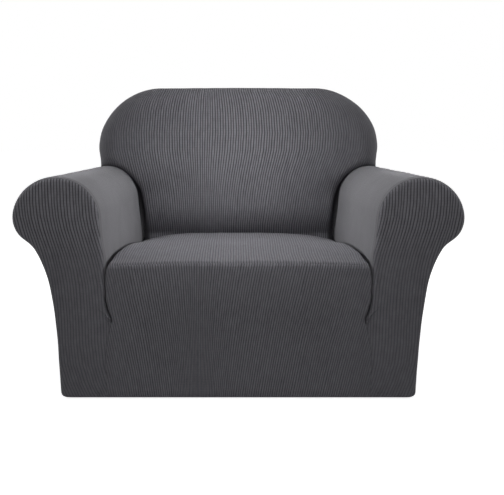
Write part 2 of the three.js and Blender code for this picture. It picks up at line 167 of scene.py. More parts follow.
class Path:
    """A smooth path of lines and arcs in the XZ plane."""

    HALVINGS = 40  # how often a search halves its range

    def __init__(self, x: float, z: float, heading: float, stretches: Iterable[Stretch]) -> None:
        """Follows the stretches from a start.

        Args:
            x: Where the path starts across.
            z: Height at which it starts.
            heading: Degrees from +X towards +Z in which it sets out.
            stretches: The lines and arcs, in order.
        """
        self.starts: list[float] = []
        self._pieces: list[tuple[float, float, float, float]] = []
        angle, length = math.radians(heading), 0.0
        for stretch in stretches:
            turn = math.radians(stretch.turn)
            size = stretch.length or stretch.radius * abs(turn)
            self.starts.append(length)
            self._pieces.append((x, z, angle, turn / size))
            x, z, angle = self._along(self._pieces[-1], size)
            length += size
        self.length = length

    @staticmethod
    def _along(piece: tuple[float, float, float, float], s: float) -> tuple[float, float, float]:
        """Follows one piece of the path.

        Args:
            piece: Its x, z and heading at the start, and its curvature.
            s: Distance along it.

        Returns:
            The x, z and heading there.
        """
        x, z, heading, curve = piece
        turned = heading + curve * s
        if not curve:
            return x + s * math.cos(heading), z + s * math.sin(heading), heading
        across = (math.sin(turned) - math.sin(heading)) / curve
        return x + across, z - (math.cos(turned) - math.cos(heading)) / curve, turned

    def at(self, s: float) -> Place:
        """Finds a place on the path.

        Args:
            s: Distance along the path.

        Returns:
            The place there.
        """
        i = max((k for k, start in enumerate(self.starts) if s > start), default=0)
        x, z, heading = self._along(self._pieces[i], s - self.starts[i])
        return Place(x, z, -math.sin(heading), math.cos(heading))

    def where(self, test: Callable[[Place], bool], low: float, high: float) -> float:
        """Finds where a test begins to hold, by halving.

        Args:
            test: Fails at low and holds at high.
            low: Distance along the path.
            high: Distance further along it.

        Returns:
            The distance from which the test holds.
        """
        for _ in range(self.HALVINGS):
            middle = (low + high) / 2
            low, high = (low, middle) if test(self.at(middle)) else (middle, high)
        return high


@dataclass(slots=True)
class Spot:
    """A point of a panel."""

    x: float  # place across the chair
    y: float  # place from front to back
    z: float  # height
    flat: Flat  # the same point on the cloth laid flat
    normal: Vector | None = None  # the seam's own normal, where two panels end in one plane


Rows = list[list[Spot]]


def transposed(rows: Rows) -> Rows:
    """Returns the grid with its rows and columns swapped."""
    return [list(column) for column in zip(*rows)]


def mirror(spot: Spot) -> Spot:
    """Returns the spot's mirror image in the middle of the chair."""
    normal = spot.normal and Vector((-spot.normal.x, spot.normal.y, spot.normal.z))
    return Spot(-spot.x, spot.y, spot.z, (-spot.flat[0], spot.flat[1]), normal)


class Panel:
    """One cloth panel: quads that share their corners."""

    FINENESS = 5e4  # lines in a metre of the grid on which corners are told apart
    OFFSET = 0.2371  # how far that grid lies off the round places at which points often are

    def __init__(self) -> None:
        """Starts an empty panel."""
        self.spots: list[Spot] = []
        self.quads: list[Quad] = []
        self._found: dict[tuple[int, ...], int] = {}

    def _corner(self, spot: Spot) -> int:
        """Numbers a corner. Spots that lie on each other share one.

        Args:
            spot: Where the corner is.

        Returns:
            Its number, new or known.
        """
        key = tuple(round(v * self.FINENESS + self.OFFSET) for v in (spot.x, spot.y, spot.z))
        if key not in self._found:
            self._found[key] = len(self.spots)
            self.spots.append(spot)
        return self._found[key]

    def grid(self, rows: Rows, keep: Callable[[int, int], bool] | None = None) -> None:
        """Adds rows of points. The outer face is on the side of column direction x row direction.

        Args:
            rows: The points.
            keep: Says which cells are kept, by row and column. All are if it is left out.
        """
        for i, (row, above) in enumerate(pairwise(rows)):
            for j in range(len(row) - 1):
                if keep is None or keep(i, j):
                    ring = (row[j], row[j + 1], above[j + 1], above[j])
                    quad = tuple(dict.fromkeys(map(self._corner, ring)))
                    if len(quad) > 2:
                        self.quads.append(quad)

    def halves(self, rows: Rows, keep: Callable[[int, int], bool] | None = None) -> None:
        """Adds the right half of a symmetrical grid, and its mirror image.

        Args:
            rows: The points of the right half, whose columns run outwards.
            keep: Says which of its cells are kept, as in grid.
        """
        self.grid(rows, keep)
        last = len(rows[0]) - 2
        mirrored = [[mirror(spot) for spot in reversed(row)] for row in rows]
        self.grid(mirrored, keep and (lambda i, j: keep(i, last - j)))


# ---- Folds and unevenness of the stretched cloth ----


@dataclass(frozen=True)
class Fold:
    """A soft trough along a curve."""

    REACH = 4  # widths from the curve beyond which nothing of a fold is left
    STRIDES = 24  # strides along the curve in which its nearest point is looked for

    start: Vector  # one end
    bend: Vector  # the point towards which the curve bends
    end: Vector  # the other end
    depth: float  # depth at the deepest point
    width: float  # distance from the curve at which two thirds of the depth are gone
    deepest: float  # share of the length at which it is deepest

    def _on(self, t: float) -> Vector:
        """Returns the point a share t of the way along the curve."""
        return self.start * (1 - t) ** 2 + self.bend * 2 * t * (1 - t) + self.end * t**2

    def depth_at(self, point: Vector, seam: float) -> float:
        """Works out the depth of the fold.

        Args:
            point: A point of the panel.
            seam: Its distance from the panel's edge. Not used.

        Returns:
            How far the surface lies in there.
        """
        reach = self.REACH * self.width
        for ends, place in zip(zip(self.start, self.bend, self.end), point):
            if not min(ends) - reach < place < max(ends) + reach:
                return 0.0
        shares = steps(0, 1, self.STRIDES)
        best, where = min(((self._on(t) - point).length, t) for t in shares)
        along = where / self.deepest if where < self.deepest else (1 - where) / (1 - self.deepest)
        return self.depth * smooth(0, 1, along) * math.exp(-((best / self.width) ** 2))


@dataclass(frozen=True)
class Swell:
    """The padding under an arm's front panel: a full roll, and a slightly full post below it."""

    height: float = 0.004  # how far it stands out in the middle of the roll
    centre: Flat = (0.490, 0.492)  # middle of the roll, across and up
    radius: float = 0.112
    rim: Step = (1.0, 0.15)  # shares of the radius over which it rises
    post_share: float = 0.7  # height of the post as a share of the roll's
    post_x: Flat = (0.425, 0.440)  # middle of the post at its foot and at its head
    post_lean: Step = (0.05, 0.40)  # heights over which it moves from one to the other
    post_side: Step = (0.075, 0.01)  # distances from its middle over which it rises
    post_foot: Step = (0.02, 0.14)  # heights over which it begins
    post_head: Step = (0.52, 0.36)  # heights over which it ends
    off_seam: Step = (0.004, 0.03)  # distances from the seam over which all of it rises

    def depth_at(self, point: Vector, seam: float) -> float:
        """Works out the height of the swell.

        Args:
            point: A point of the panel.
            seam: Its distance from the panel's edge.

        Returns:
            How far the surface lies in there, which is less than nothing on a swell.
        """
        x, z = abs(point.x), point.z
        from_middle = math.hypot(x - self.centre[0], z - self.centre[1]) / self.radius
        beside = abs(x - lerp(*self.post_x, smooth(*self.post_lean, z)))
        ends = smooth(*self.post_foot, z) * smooth(*self.post_head, z)
        post = self.post_share * smooth(*self.post_side, beside) * ends
        return -self.height * (smooth(*self.rim, from_middle) + post) * smooth(*self.off_seam, seam)


@dataclass(frozen=True)
class Undercut:
    """The arm's cloth, drawn away from the seat in the crease beside it, and shut at the bottom."""

    crease: Callable[[float], float]  # height of the seat's edge, by the place from front to back
    depth: float = 0.008  # how far it is drawn away
    shut: float = 0.0006  # how far it leans over to the seat at the bottom
    limits: Flat = (0.40, 0.42)  # it stays nearer to the middle than this, and lower
    open_end: Step = (FRONT_Y + 0.012, FRONT_Y + 0.034)  # places over which it begins
    bank: Step = (-0.003, 0.007)  # distances below the seat's edge over which it opens
    apron: Step = (0.010, 0.026)  # distances below it over which it ends again beside the apron
    apron_y: Step = (-0.37, -0.41)  # places over which it comes beside the apron
    bottom: Step = (TUCK_Z + 0.036, TUCK_Z + 0.008)  # heights over which it shuts

    def depth_at(self, point: Vector, seam: float) -> float:
        """Works out the depth of the undercut.

        Args:
            point: A point of the panel.
            seam: Its distance from the panel's edge. Not used.

        Returns:
            How far the surface lies in there.
        """
        if abs(point.x) > self.limits[0] or point.z > self.limits[1]:
            return 0.0
        below = self.crease(point.y) - point.z
        free = 1 - smooth(*self.apron, below) * smooth(*self.apron_y, point.y)
        shut = smooth(*self.bottom, point.z)
        depth = self.depth * smooth(*self.bank, below) * (1 - shut) - self.shut * shut
        return smooth(*self.open_end, point.y) * depth * free


@dataclass(frozen=True)
class Recess:
    """The arm's cloth, drawn outwards in the open crease between the arm and the back."""

    face: Callable[[float], float]  # place of the back's face, by the height
    end: float  # where the tuck ends
    depth: float = 0.016  # how far it is drawn out
    limits: Flat = (0.43, 0.60)  # it stays nearer to the middle than this, and lower
    level: Step = (0.600, 0.470)  # heights over which it opens
    behind: Step = (0.002, 0.014)  # distances behind the back's face over which it does
    shut: Step = (0.004, 0.028)  # distances before the tuck's end over which it does

    def depth_at(self, point: Vector, seam: float) -> float:
        """Works out the depth of the recess.

        Args:
            point: A point of the panel.
            seam: Its distance from the panel's edge. Not used.

        Returns:
            How far the surface lies in there.
        """
        if abs(point.x) > self.limits[0] or point.z > self.limits[1]:
            return 0.0
        behind = smooth(*self.behind, point.y - self.face(point.z))
        before = smooth(*self.shut, self.end - point.y)
        return self.depth * smooth(*self.level, point.z) * behind * before


Relief = Fold | Swell | Undercut | Recess


@dataclass(frozen=True)
class Drape:
    """How the whole cover sits on its chair: never quite even, and drawn in beside the apron."""

    height: float = 0.0016  # how far the padding under the cloth wanders
    size: float = 0.12  # distance over which it does
    finer: float = 2.4  # how much finer its small unevenness is
    finer_share: float = 0.3  # height of the small unevenness as a share of the large
    origin: tuple[float, float, float] = (3.1, 0.7, 5.2)  # where the cover lies in the noise
    level: Step = (0.0, 0.05)  # heights over which it begins above the hem
    bow: Table = (  # heights, and how far the lines between apron and arms are moved out there
        (0.12, 0.0),
        (0.14, -0.0010),
        (0.17, -0.0060),
        (0.20, -0.0130),
        (0.216, -0.0165),
        (0.226, -0.0150),
        (0.237, -0.0108),
        (0.248, -0.0060),
        (0.260, -0.0035),
        (0.271, -0.0005),
        (0.282, 0.0005),
        (0.300, -0.0010),
        (0.325, 0.0005),
        (0.340, -0.0010),
        (0.360, -0.0035),
        (0.385, -0.0050),
        (0.44, 0.0),
    )
    bow_reach: float = 0.04  # how far to either side of those lines the cloth moves with them
    bow_y: Step = (-0.30, -0.40)  # places over which it begins to
    flush: float = 0.01  # how far those lines' groove is lifted, low down where it hardly shows
    flush_beside: Step = (0.03, 0.01)  # distances from the lines over which it is
    flush_y: Step = (-0.40, -0.42)  # places over which it is
    flush_z: Step = (0.215, 0.195)  # heights over which it is

    def bowed(self, x: float, y: float, z: float) -> float:
        """Works out how far a point is moved along with the line between apron and arm.

        Args:
            x: Its place across the chair.
            y: Its place from front to back.
            z: Its height.

        Returns:
            The distance towards +X.
        """
        near = math.exp(-(((abs(x) - ARM_X) / self.bow_reach) ** 2))
        return math.copysign(1, x) * interpolated(self.bow, z) * near * smooth(*self.bow_y, y)

    def lifted(self, spot: Spot) -> float:
        """Works out how far a spot is lifted out of the groove of a seam that hardly shows.

        Args:
            spot: The spot.

        Returns:
            What is added to its distance from the seam.
        """
        near = smooth(*self.flush_beside, abs(abs(spot.x) - ARM_X)) * smooth(*self.flush_y, spot.y)
        return self.flush * near * smooth(*self.flush_z, spot.z)

    def moved(self, point: Vector) -> Vector:
        """Works out where a point of the even cover comes to lie.

        Args:
            point: The point.

        Returns:
            Its place on the draped cover.
        """
        wide = noise.noise_vector(point / self.size + Vector(self.origin))
        fine = noise.noise_vector(point / self.size * self.finer) * self.finer_share
        uneven = (wide + fine) * self.height * smooth(*self.level, point.z)
        return point + uneven + Vector((self.bowed(*point), 0, 0))


# ---- The flow of the ribs over each panel ----


@dataclass(frozen=True)
class RibFlow:
    """How the ribs run over a panel laid flat."""

    pitch: float  # distance between two ribs
    cross_pitch: float  # distance between two of the finer channels across the ribs
    axis: float = 0.0  # place across the panel to which the ribs lean
    pull: float = 0.0  # how strongly they lean just beside that axis
    beside: float = 0.05  # distance from the axis at which that lean is nearly full
    fan: float = 0.0  # how much more they lean further out, for each metre
    gather: Table = ((0.0, 0.0),)  # heights, and how far the lean has gathered there
    drift: Table = ((0.0, 0.0),)  # heights, and how far all the ribs have moved across
    relief: Table = ((0.0, 1.0),)  # heights, and how clearly the ribs stand out there
    faded: Table = ((0.0, 1.0),)  # distances from the middle, and how clearly they do there

    def at(self, flat: Flat) -> Flat:
        """Counts the ribs up to a point.

        Args:
            flat: The point, on the cloth laid flat.

        Returns:
            The rib and the cross channel at the point, as numbers that need not be whole.
        """
        beside = flat[0] - self.axis - interpolated(self.drift, flat[1])
        lean = self.pull * math.tanh(beside / self.beside) + self.fan * beside
        moved = beside + interpolated(self.gather, flat[1]) * lean
        return moved / self.pitch, flat[1] / self.cross_pitch

    def relief_at(self, flat: Flat) -> float:
        """Returns how clearly the ribs stand out at a point, from 0 to 1."""
        return interpolated(self.relief, flat[1]) * interpolated(self.faded, abs(flat[0]))


BACK_FLOW = RibFlow(
    pitch=0.0094,
    cross_pitch=0.0088,
    axis=-0.13,
    pull=0.12,
    fan=0.78,
    gather=(
        (0.40, 0.185),
        (0.50, 0.140),
        (0.54, 0.116),
        (0.58, 0.089),
        (0.625, 0.050),
        (0.67, 0.016),
        (0.73, 0.0),
        (0.80, 0.013),
        (0.87, 0.049),
        (0.92, 0.085),
    ),
    relief=((0.44, 0.84), (0.52, 0.92)),
    faded=((0.28, 1.0), (0.35, 0.9), (0.45, 0.53), (0.50, 0.4)),
)
APRON_FLOW = RibFlow(
    pitch=0.0071,
    cross_pitch=0.0068,
    axis=-0.112,
    pull=0.125,
    fan=0.36,
    gather=((0.0, 0.38), (0.38, 0.0)),
    relief=((0.0, 0.72),),
    faded=((0.27, 1.0), (0.345, 0.6)),
)
SEAT_FLOW = RibFlow(
    pitch=0.0071,
    cross_pitch=0.0068,
    fan=-1.0,
    gather=((-0.44, 0.0), (0.15, 0.15)),
    relief=((0.0, 0.65),),
)
ARM_FRONT_FLOW = RibFlow(
    pitch=0.0080,
    cross_pitch=0.0078,
    drift=(
        (0.0, -0.088),
        (0.046, -0.070),
        (0.10, -0.056),
        (0.155, -0.051),
        (0.21, -0.050),
        (0.264, -0.048),
        (0.318, -0.045),
        (0.36, -0.039),
        (0.40, -0.030),
        (0.438, -0.019),
        (0.471, -0.010),
        (0.503, -0.004),
        (0.54, -0.001),
        (0.60, 0.0),
    ),
    relief=((0.10, 0.34), (0.36, 0.39), (0.46, 0.80)),
)
WRAP_FLOW = RibFlow(pitch=0.0078, cross_pitch=0.0076, relief=((0.64, 0.38), (0.80, 0.85)))
OUTSIDE_FLOW = RibFlow(pitch=0.0088, cross_pitch=0.0086)


# ---- Finishes ----

Socket = bpy.types.NodeSocket
Colour = tuple[float, float, float]


class Wiring:
    """Puts nodes into a tree and joins them."""

    def __init__(self, tree: bpy.types.NodeTree) -> None:
        """Takes over a tree."""
        self.tree = tree

    @classmethod
    def of(cls, block: bpy.types.Material | bpy.types.World) -> Self:
        """Empties the tree of a material or world.

        Args:
            block: The material or world.

        Returns:
            The wiring of its tree.
        """
        block.use_nodes = True
        block.node_tree.nodes.clear()
        return cls(block.node_tree)

    def node(self, kind: str, **values: object) -> bpy.types.Node:
        """Adds a node.

        Args:
            kind: Its type, without ShaderNode.
            values: Numbers or sockets for its inputs, and settings of the node, by name.

        Returns:
            The node.
        """
        node = self.tree.nodes.new("ShaderNode" + kind)
        for name, value in values.items():
            socket = node.inputs.get(name.replace("_", " ").title().replace("Ior", "IOR"))
            if socket is None:
                setattr(node, name, value)
            else:
                self._feed(socket, value)
        return node

    def _feed(self, socket: Socket, value: object) -> None:
        """Gives an input its value.

        Args:
            socket: The input.
            value: A number, a vector or a colour, or the socket that the value comes from.
        """
        if isinstance(value, Socket):
            self.tree.links.new(value, socket)
        else:
            socket.default_value = value

    def _worked_out(self, node: bpy.types.Node, inputs: Sequence[float | Socket]) -> Socket:
        """Feeds a node's inputs in their order.

        Args:
            node: The node.
            inputs: Numbers or sockets.

        Returns:
            Its first output.
        """
        for socket, value in zip(node.inputs, inputs):
            self._feed(socket, value)
        return node.outputs[0]

    def math(self, operation: str, *inputs: float | Socket) -> Socket:
        """Returns the result of an operation on numbers or sockets."""
        return self._worked_out(self.node("Math", operation=operation), inputs)

    def vector(self, *inputs: float | Socket) -> Socket:
        """Returns a vector made of numbers or sockets."""
        return self._worked_out(self.node("CombineXYZ"), inputs)

    def added(self, *shaders: Socket) -> Socket:
        """Returns the sum of two shaders."""
        return self._worked_out(self.node("AddShader"), shaders)

    def eased(self, value: Socket, low: float, high: float) -> Socket:
        """Lets a value rise smoothly from 0 to 1.

        Args:
            value: The value.
            low: Where it begins to rise.
            high: Where it has risen.

        Returns:
            The risen value.
        """
        step = self.node(
            "MapRange", interpolation_type="SMOOTHSTEP", value=value, from_min=low, from_max=high
        )
        return step.outputs["Result"]

    def band(self, count: Socket, low: float, high: float) -> Socket:
        """Turns a count into bands.

        Args:
            count: The count, with a channel at each whole number.
            low: Share of the band's swing up to which the channel is flat.
            high: Share from which the cloth between the channels is.

        Returns:
            0 in the channels and 1 on the cloth between them.
        """
        wave = self.math("SINE", self.math("MULTIPLY", count, math.pi))
        return self.eased(self.math("ABSOLUTE", wave), low, high)

    def grain(self, place: Socket, scale: float, detail: float = 2.0) -> Socket:
        """Makes a grain.

        Args:
            place: Where it is read.
            scale: How fine it is.
            detail: How many finer grains it holds.

        Returns:
            Values about 0, between -0.5 and 0.5.
        """
        grain = self.node("TexNoise", scale=scale, detail=detail, vector=place)
        return self.math("SUBTRACT", grain.outputs["Fac"], 0.5)


@dataclass(frozen=True)
class RibbedJacquard:
    """The weave: raised ribs of heathered yarn, crossed by faint finer channels."""

    ribs: Step = (0.15, 0.88)  # shares of a rib's swing between which its side rises
    cross: Step = (0.0, 0.7)  # the same for the cloth between two cross channels
    middle: float = 0.55  # height to which the ribs sink where they stand out less
    wander: float = 0.7  # how far the ribs wander, in ribs
    cross_wander: float = 0.6  # how far the cross channels do, in channels
    wander_scale: float = 0.40  # how often they do, for each rib
    wander_along: float = 0.10  # the same along a rib, as a share of that across
    wander_level: float = 1.7  # level at which the noise is read
    streak_apart: float = 3.7  # how far apart two ribs' streaks are read
    streak_along: float = 0.30  # how often a streak changes along its rib
    yarn_scale: float = 2.6  # how fine the yarn is
    yarn_height: float = 0.15  # height of the yarn as a share of the ribs
    yarn_tone: float = 0.6  # how much its tone varies beside the streaks

    def group(self) -> bpy.types.NodeTree:
        """Builds the weave.

        Returns:
            The node group.
        """
        tree = bpy.data.node_groups.new("ribbed_jacquard", "ShaderNodeTree")
        sides = {"INPUT": ("Ribs", "Relief", "Cross Depth"), "OUTPUT": ("Height", "Tops", "Heather")}
        for side, names in sides.items():
            for name in names:
                kind = "NodeSocketVector" if name == "Ribs" else "NodeSocketFloat"
                tree.interface.new_socket(name, in_out=side, socket_type=kind)
        given = tree.nodes.new("NodeGroupInput").outputs
        wiring = Wiring(tree)
        parts = wiring.node("SeparateXYZ", vector=given["Ribs"])
        across, along = parts.outputs["X"], parts.outputs["Y"]

        slow = wiring.math("MULTIPLY", along, self.wander_along)
        crowded = wiring.grain(wiring.vector(across, slow, self.wander_level), self.wander_scale)
        rib = wiring.math("MULTIPLY_ADD", crowded, self.wander, across)
        channel = wiring.math("MULTIPLY_ADD", crowded, self.cross_wander, along)
        gap = wiring.math("SUBTRACT", 1.0, wiring.band(channel, *self.cross))
        level = wiring.math("SUBTRACT", 1.0, wiring.math("MULTIPLY", gap, given["Cross Depth"]))
        full_tops = wiring.math("MULTIPLY", wiring.band(rib, *self.ribs), level)
        swing = wiring.math("SUBTRACT", full_tops, self.middle)
        tops = wiring.math("MULTIPLY_ADD", swing, given["Relief"], self.middle)

        number = wiring.math("MULTIPLY", wiring.math("FLOOR", rib), self.streak_apart)
        slow = wiring.math("MULTIPLY", along, self.streak_along)
        streaks = wiring.grain(wiring.vector(number, slow, 0.0), 1.0)
        yarn = wiring.grain(given["Ribs"], self.yarn_scale)
        results = {
            "Height": wiring.math("MULTIPLY_ADD", yarn, self.yarn_height, tops),
            "Tops": tops,
            "Heather": wiring.math("MULTIPLY_ADD", yarn, self.yarn_tone, streaks),
        }
        taken = tree.nodes.new("NodeGroupOutput").inputs
        for name, result in results.items():
            tree.links.new(result, taken[name])
        return tree


@dataclass(frozen=True)
class StretchCloth:
    """Charcoal stretch jacquard with fine raised ribs."""

    name: str  # name of the material
    rib: Colour = (0.197, 0.194, 0.213)  # colour of the raised ribs
    channel: Colour = (0.036, 0.035, 0.040)  # colour down in the channels between them
    rib_height: float = 0.0009
    cross_depth: float = 0.15  # depth of the channels across the ribs, as a share of the ribs
    heather: float = 0.5  # how much the yarn's tone varies
    roughness: float = 0.85
    gloss: float = 0.1
    sheen: float = 0.12  # weight of the soft light that the fibres catch at a glance
    sheen_roughness: float = 0.5
    sheen_tint: Colour = (0.86, 0.85, 0.9)
    clouds: float = 7.0  # how many clouds of a lighter or darker tone there are in a metre
    cloud_depth: float = 0.16  # how much lighter the lightest is than the darkest
    cloud_layers: float = 3.0  # number of finer layers in the clouds
    cloud_share: float = 0.55  # how strong each layer is beside the coarser one
    seam_width: float = 0.0026  # distance over which the cloth rises out of a seam
    seam_height: float = 0.8  # how far it does, as a share of the ribs

    def material(self, weave_group: bpy.types.NodeTree) -> bpy.types.Material:
        """Builds the material.

        Args:
            weave_group: The weave's node group.

        Returns:
            The material.
        """
        material = bpy.data.materials.new(self.name)
        wiring = Wiring.of(material)
        ribs, lying = (wiring.node("UVMap", uv_map=name).outputs[0] for name in ("Ribs", "Lie"))
        lie = wiring.node("SeparateXYZ", vector=lying).outputs
        weave = wiring.node(
            "Group", node_tree=weave_group, ribs=ribs, relief=lie["Y"], cross_depth=self.cross_depth
        ).outputs

        cloth = wiring.node(
            "Mix", data_type="RGBA", factor=weave["Tops"], a=(*self.channel, 1), b=(*self.rib, 1)
        )
        place = wiring.node("TexCoord").outputs["Object"]
        clouds = wiring.node(
            "TexNoise",
            vector=place,
            scale=self.clouds,
            detail=self.cloud_layers,
            roughness=self.cloud_share,
        ).outputs["Fac"]
        wide = wiring.math("MULTIPLY_ADD", clouds, self.cloud_depth, 1 - self.cloud_depth / 2)
        value = wiring.math("MULTIPLY_ADD", weave["Heather"], self.heather, wide)
        shade = wiring.node("HueSaturation", color=cloth.outputs["Result"], value=value)

        off_seam = wiring.eased(lie["X"], 0.0, self.seam_width)
        height = wiring.math("MULTIPLY_ADD", off_seam, self.seam_height, weave["Height"])
        bump = wiring.node("Bump", strength=1.0, distance=self.rib_height, height=height)
        shader = wiring.node(
            "BsdfPrincipled",
            base_color=shade.outputs["Color"],
            normal=bump.outputs[0],
            roughness=self.roughness,
            specular_ior_level=self.gloss,
            sheen_weight=self.sheen,
            sheen_roughness=self.sheen_roughness,
            sheen_tint=(*self.sheen_tint, 1),
        )
        wiring.node("OutputMaterial", surface=shader.outputs[0])
        return material


RIBBED = StretchCloth("charcoal_stretch_jacquard")
# The same cloth painted lighter for the arm wraps: its lighter ribs and much lighter channels are
# painted light, standing in for the light that the arms' inner faces and tops catch. Its ribs also
# stand lower, and its yarn varies less.
ARM_CLOTH_PAINTED_LIGHTER = StretchCloth(
    "charcoal_stretch_jacquard_painted_lighter_on_arms",
    rib=(0.204, 0.202, 0.215),
    channel=(0.090, 0.089, 0.095),
    rib_height=0.0005,
    heather=0.16,
)


# ---- Making the pieces ----


class Side(Enum):
    """Which arm: the left one as seen from the front, or the right one."""

    LEFT = -1
    RIGHT = 1


def placed(name: str, data: bpy.types.ID) -> bpy.types.Object:
    """Puts something into the scene.

    Args:
        name: Its name.
        data: Its mesh, lamp or camera.

    Returns:
        The new object.
    """
    thing = bpy.data.objects.new(name, data)
    bpy.context.scene.collection.objects.link(thing)
    return thing


@dataclass
class ClothPiece:
    """One panel, ready to be made into an object."""

    MARKS = (0, 0.25, 0.5, 0.75)  # shares of each edge of the rim from which seams are measured

    node: str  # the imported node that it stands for
    panel: Panel  # its points and quads, for the right arm where it is an arm's
    flow: RibFlow  # how the ribs run over it
    flat: Flat  # width and length that the cloth was cut to
    cut_area: float  # flat area of the cut
    cloth: StretchCloth = RIBBED
    relief: Sequence[Relief] = ()  # its folds and swells
    side: Side = Side.RIGHT
    drape: Drape = Drape()  # how the whole cover sits

    def build(self, material: bpy.types.Material) -> bpy.types.Object:
        """Makes the piece.

        Args:
            material: The material of its cloth.

        Returns:
            The piece, riding on the cover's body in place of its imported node.
        """
        mesh = self._mesh(f"{self.node}_cloth")
        mesh.materials.append(material)
        piece = placed(mesh.name, mesh)
        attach(piece, "root")
        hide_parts(self.node)
        return piece

    def _mesh(self, name: str) -> bpy.types.Mesh:
        """Makes the closed shell.

        Args:
            name: Its name.

        Returns:
            The mesh. Its UV maps count the ribs, and say how the cloth lies: how far it is from a
            seam and how clearly the ribs stand out.
        """
        spots, side = self.panel.spots, self.side.value
        quads = [quad if side > 0 else quad[::-1] for quad in self.panel.quads]
        rim = self._rim(quads)
        outer = [Vector((spot.x * side, spot.y, spot.z)) for spot in spots]
        seams = self._seam_distances(outer, rim)
        for i, normal in enumerate(self._normals(outer, quads)):
            depth = sum(part.depth_at(outer[i], seams[i]) for part in self.relief)
            outer[i] = self.drape.moved(outer[i] - normal * depth)
        points, chains, source = self._turned_in(outer, self._normals(outer, quads), rim)
        faces, sharp = self._faces(quads, rim, chains)
        mesh = bpy.data.meshes.new(name)
        mesh.from_pydata([tuple(point) for point in points], [], faces)
        mesh.update()
        mesh.shade_smooth()
        for edge in mesh.edges:
            edge.use_edge_sharp = frozenset(edge.vertices) in sharp
        ribs, lies = [], []
        for spot, seam in zip(spots, seams):
            flat = self._straight(spot)
            ribs.append(self.flow.at(flat))
            lies.append((seam + self.drape.lifted(spot), self.flow.relief_at(flat)))
        for map_name, values in (("Ribs", ribs), ("Lie", lies)):
            layer = mesh.uv_layers.new(name=map_name)
            both = [values[source[loop.vertex_index]] for loop in mesh.loops]
            layer.data.foreach_set("uv", [number for pair in both for number in pair])
        return mesh

    def _straight(self, spot: Spot) -> Flat:
        """Finds a spot on the flat cloth, where the ribs in front don't bow with the seams.

        Args:
            spot: The spot.

        Returns:
            Its place, from which the ribs are counted.
        """
        in_front = self.node == "front_apron" or self.node.startswith("arm_front")
        bow = self.drape.bowed(spot.x, spot.y, spot.z) if in_front else 0.0
        return spot.flat[0] + bow, spot.flat[1]

    def _turned_in(
        self, outer: list[Vector], normals: list[Vector], rim: list[tuple[int, int]]
    ) -> tuple[list[Vector], dict[int, list[int]], list[int]]:
        """Adds the cloth's inner face, and the edges that are turned in at the seams.

        Args:
            outer: The points of the outer face.
            normals: Their normals.
            rim: The edges of the panel.

        Returns:
            All points, the points passed on the way round the edge from each point of the rim, and
            for each point the corner that it belongs to.
        """
        count, spots = len(outer), self.panel.spots
        outwards: dict[int, Vector] = {}
        for a, b in rim:
            if spots[a].normal and spots[b].normal:
                for i in (a, b):
                    way = (outer[b] - outer[a]).cross(normals[i]).normalized()
                    outwards[i] = outwards.get(i, Vector()) + way
        aways = [outwards.get(i, Vector()).normalized() for i in range(count)]
        inner = [p - (normal + away) * CLOTH for p, normal, away in zip(outer, normals, aways)]
        points = [*outer, *inner]
        source = [*range(count), *range(count)]
        chains = {i: [i, i + count] for edge in rim for i in edge}
        for i in outwards:
            away = aways[i]
            levels = [outer[i] - normals[i] * depth + away * lean for depth, lean in ALLOWANCE]
            loop = [*levels, *[level - away * CLOTH for level in reversed(levels)]]
            chains[i] = [i, *range(len(points), len(points) + len(loop)), i + count]
            points += loop
            source += [i] * len(loop)
        return points, chains, source

    def _faces(
        self, quads: list[Quad], rim: list[tuple[int, int]], chains: dict[int, list[int]]
    ) -> tuple[list[Quad], set[frozenset[int]]]:
        """Closes the shell.

        Args:
            quads: The faces of its outer side.
            rim: The edges of the panel.
            chains: The points on the way round the edge from each point of the rim.

        Returns:
            All faces, and the sharp edges.
        """
        count = len(self.panel.spots)
        faces = [*quads, *[tuple(i + count for i in reversed(quad)) for quad in quads]]
        sharp = set()
        for a, b in rim:
            if len(chains[a]) == len(chains[b]):
                ladder = pairwise(zip(chains[a], chains[b]))
                faces += [(b0, a0, a1, b1) for (a0, b0), (a1, b1) in ladder]
            else:
                faces.append((*chains[a], *reversed(chains[b])))
            sharp |= {frozenset((a, b)), frozenset((a + count, b + count))}
        return faces, sharp

    def _normals(self, points: Sequence[Vector], quads: Sequence[Quad]) -> list[Vector]:
        """Works out the normal at each corner, which on a seam is the seam's own.

        Args:
            points: The corners.
            quads: The faces between them.

        Returns:
            The normals.
        """
        normals = [Vector() for _ in points]
        for quad in quads:
            a, b, c, d = (points[quad[k]] for k in (0, 1, 2, -1))
            across = (c - a).cross(d - b) if len(quad) == 4 else (b - a).cross(c - a)
            for i in quad:
                normals[i] += across
        for i, spot in enumerate(self.panel.spots):
            if spot.normal is not None:
                x, y, z = spot.normal
                normals[i] = Vector((x * self.side.value, y, z))
        return [normal.normalized() for normal in normals]

    @staticmethod
    def _rim(quads: Sequence[Quad]) -> list[tuple[int, int]]:
        """Finds the edges of a panel.

        Args:
            quads: Its faces.

        Returns:
            The edges that only one of them has.
        """
        edges = [(quad[k - 1], quad[k]) for quad in quads for k in (*range(1, len(quad)), 0)]
        known = set(edges)
        return [(a, b) for a, b in edges if (b, a) not in known]

    @classmethod
    def _seam_distances(
        cls, points: Sequence[Vector], rim: Sequence[tuple[int, int]]
    ) -> list[float]:
        """Measures how far each corner is from the edge of the panel.

        Args:
            points: The corners.
            rim: The edges of the panel.

        Returns:
            The distances.
        """
        marks = [points[a].lerp(points[b], t) for a, b in rim for t in cls.MARKS]
        tree = kdtree.KDTree(len(marks))
        for i, mark in enumerate(marks):
            tree.insert(mark, i)
        tree.balance()
        return [tree.find(point)[2] for point in points]


# ---- Edges ----


@dataclass(frozen=True)
class Station:
    """A step over a rounded edge."""

    inward: float  # distance from the seam's line, across the flat
    deep: float  # distance behind the flat
    run: float  # distance along the cloth from the first station


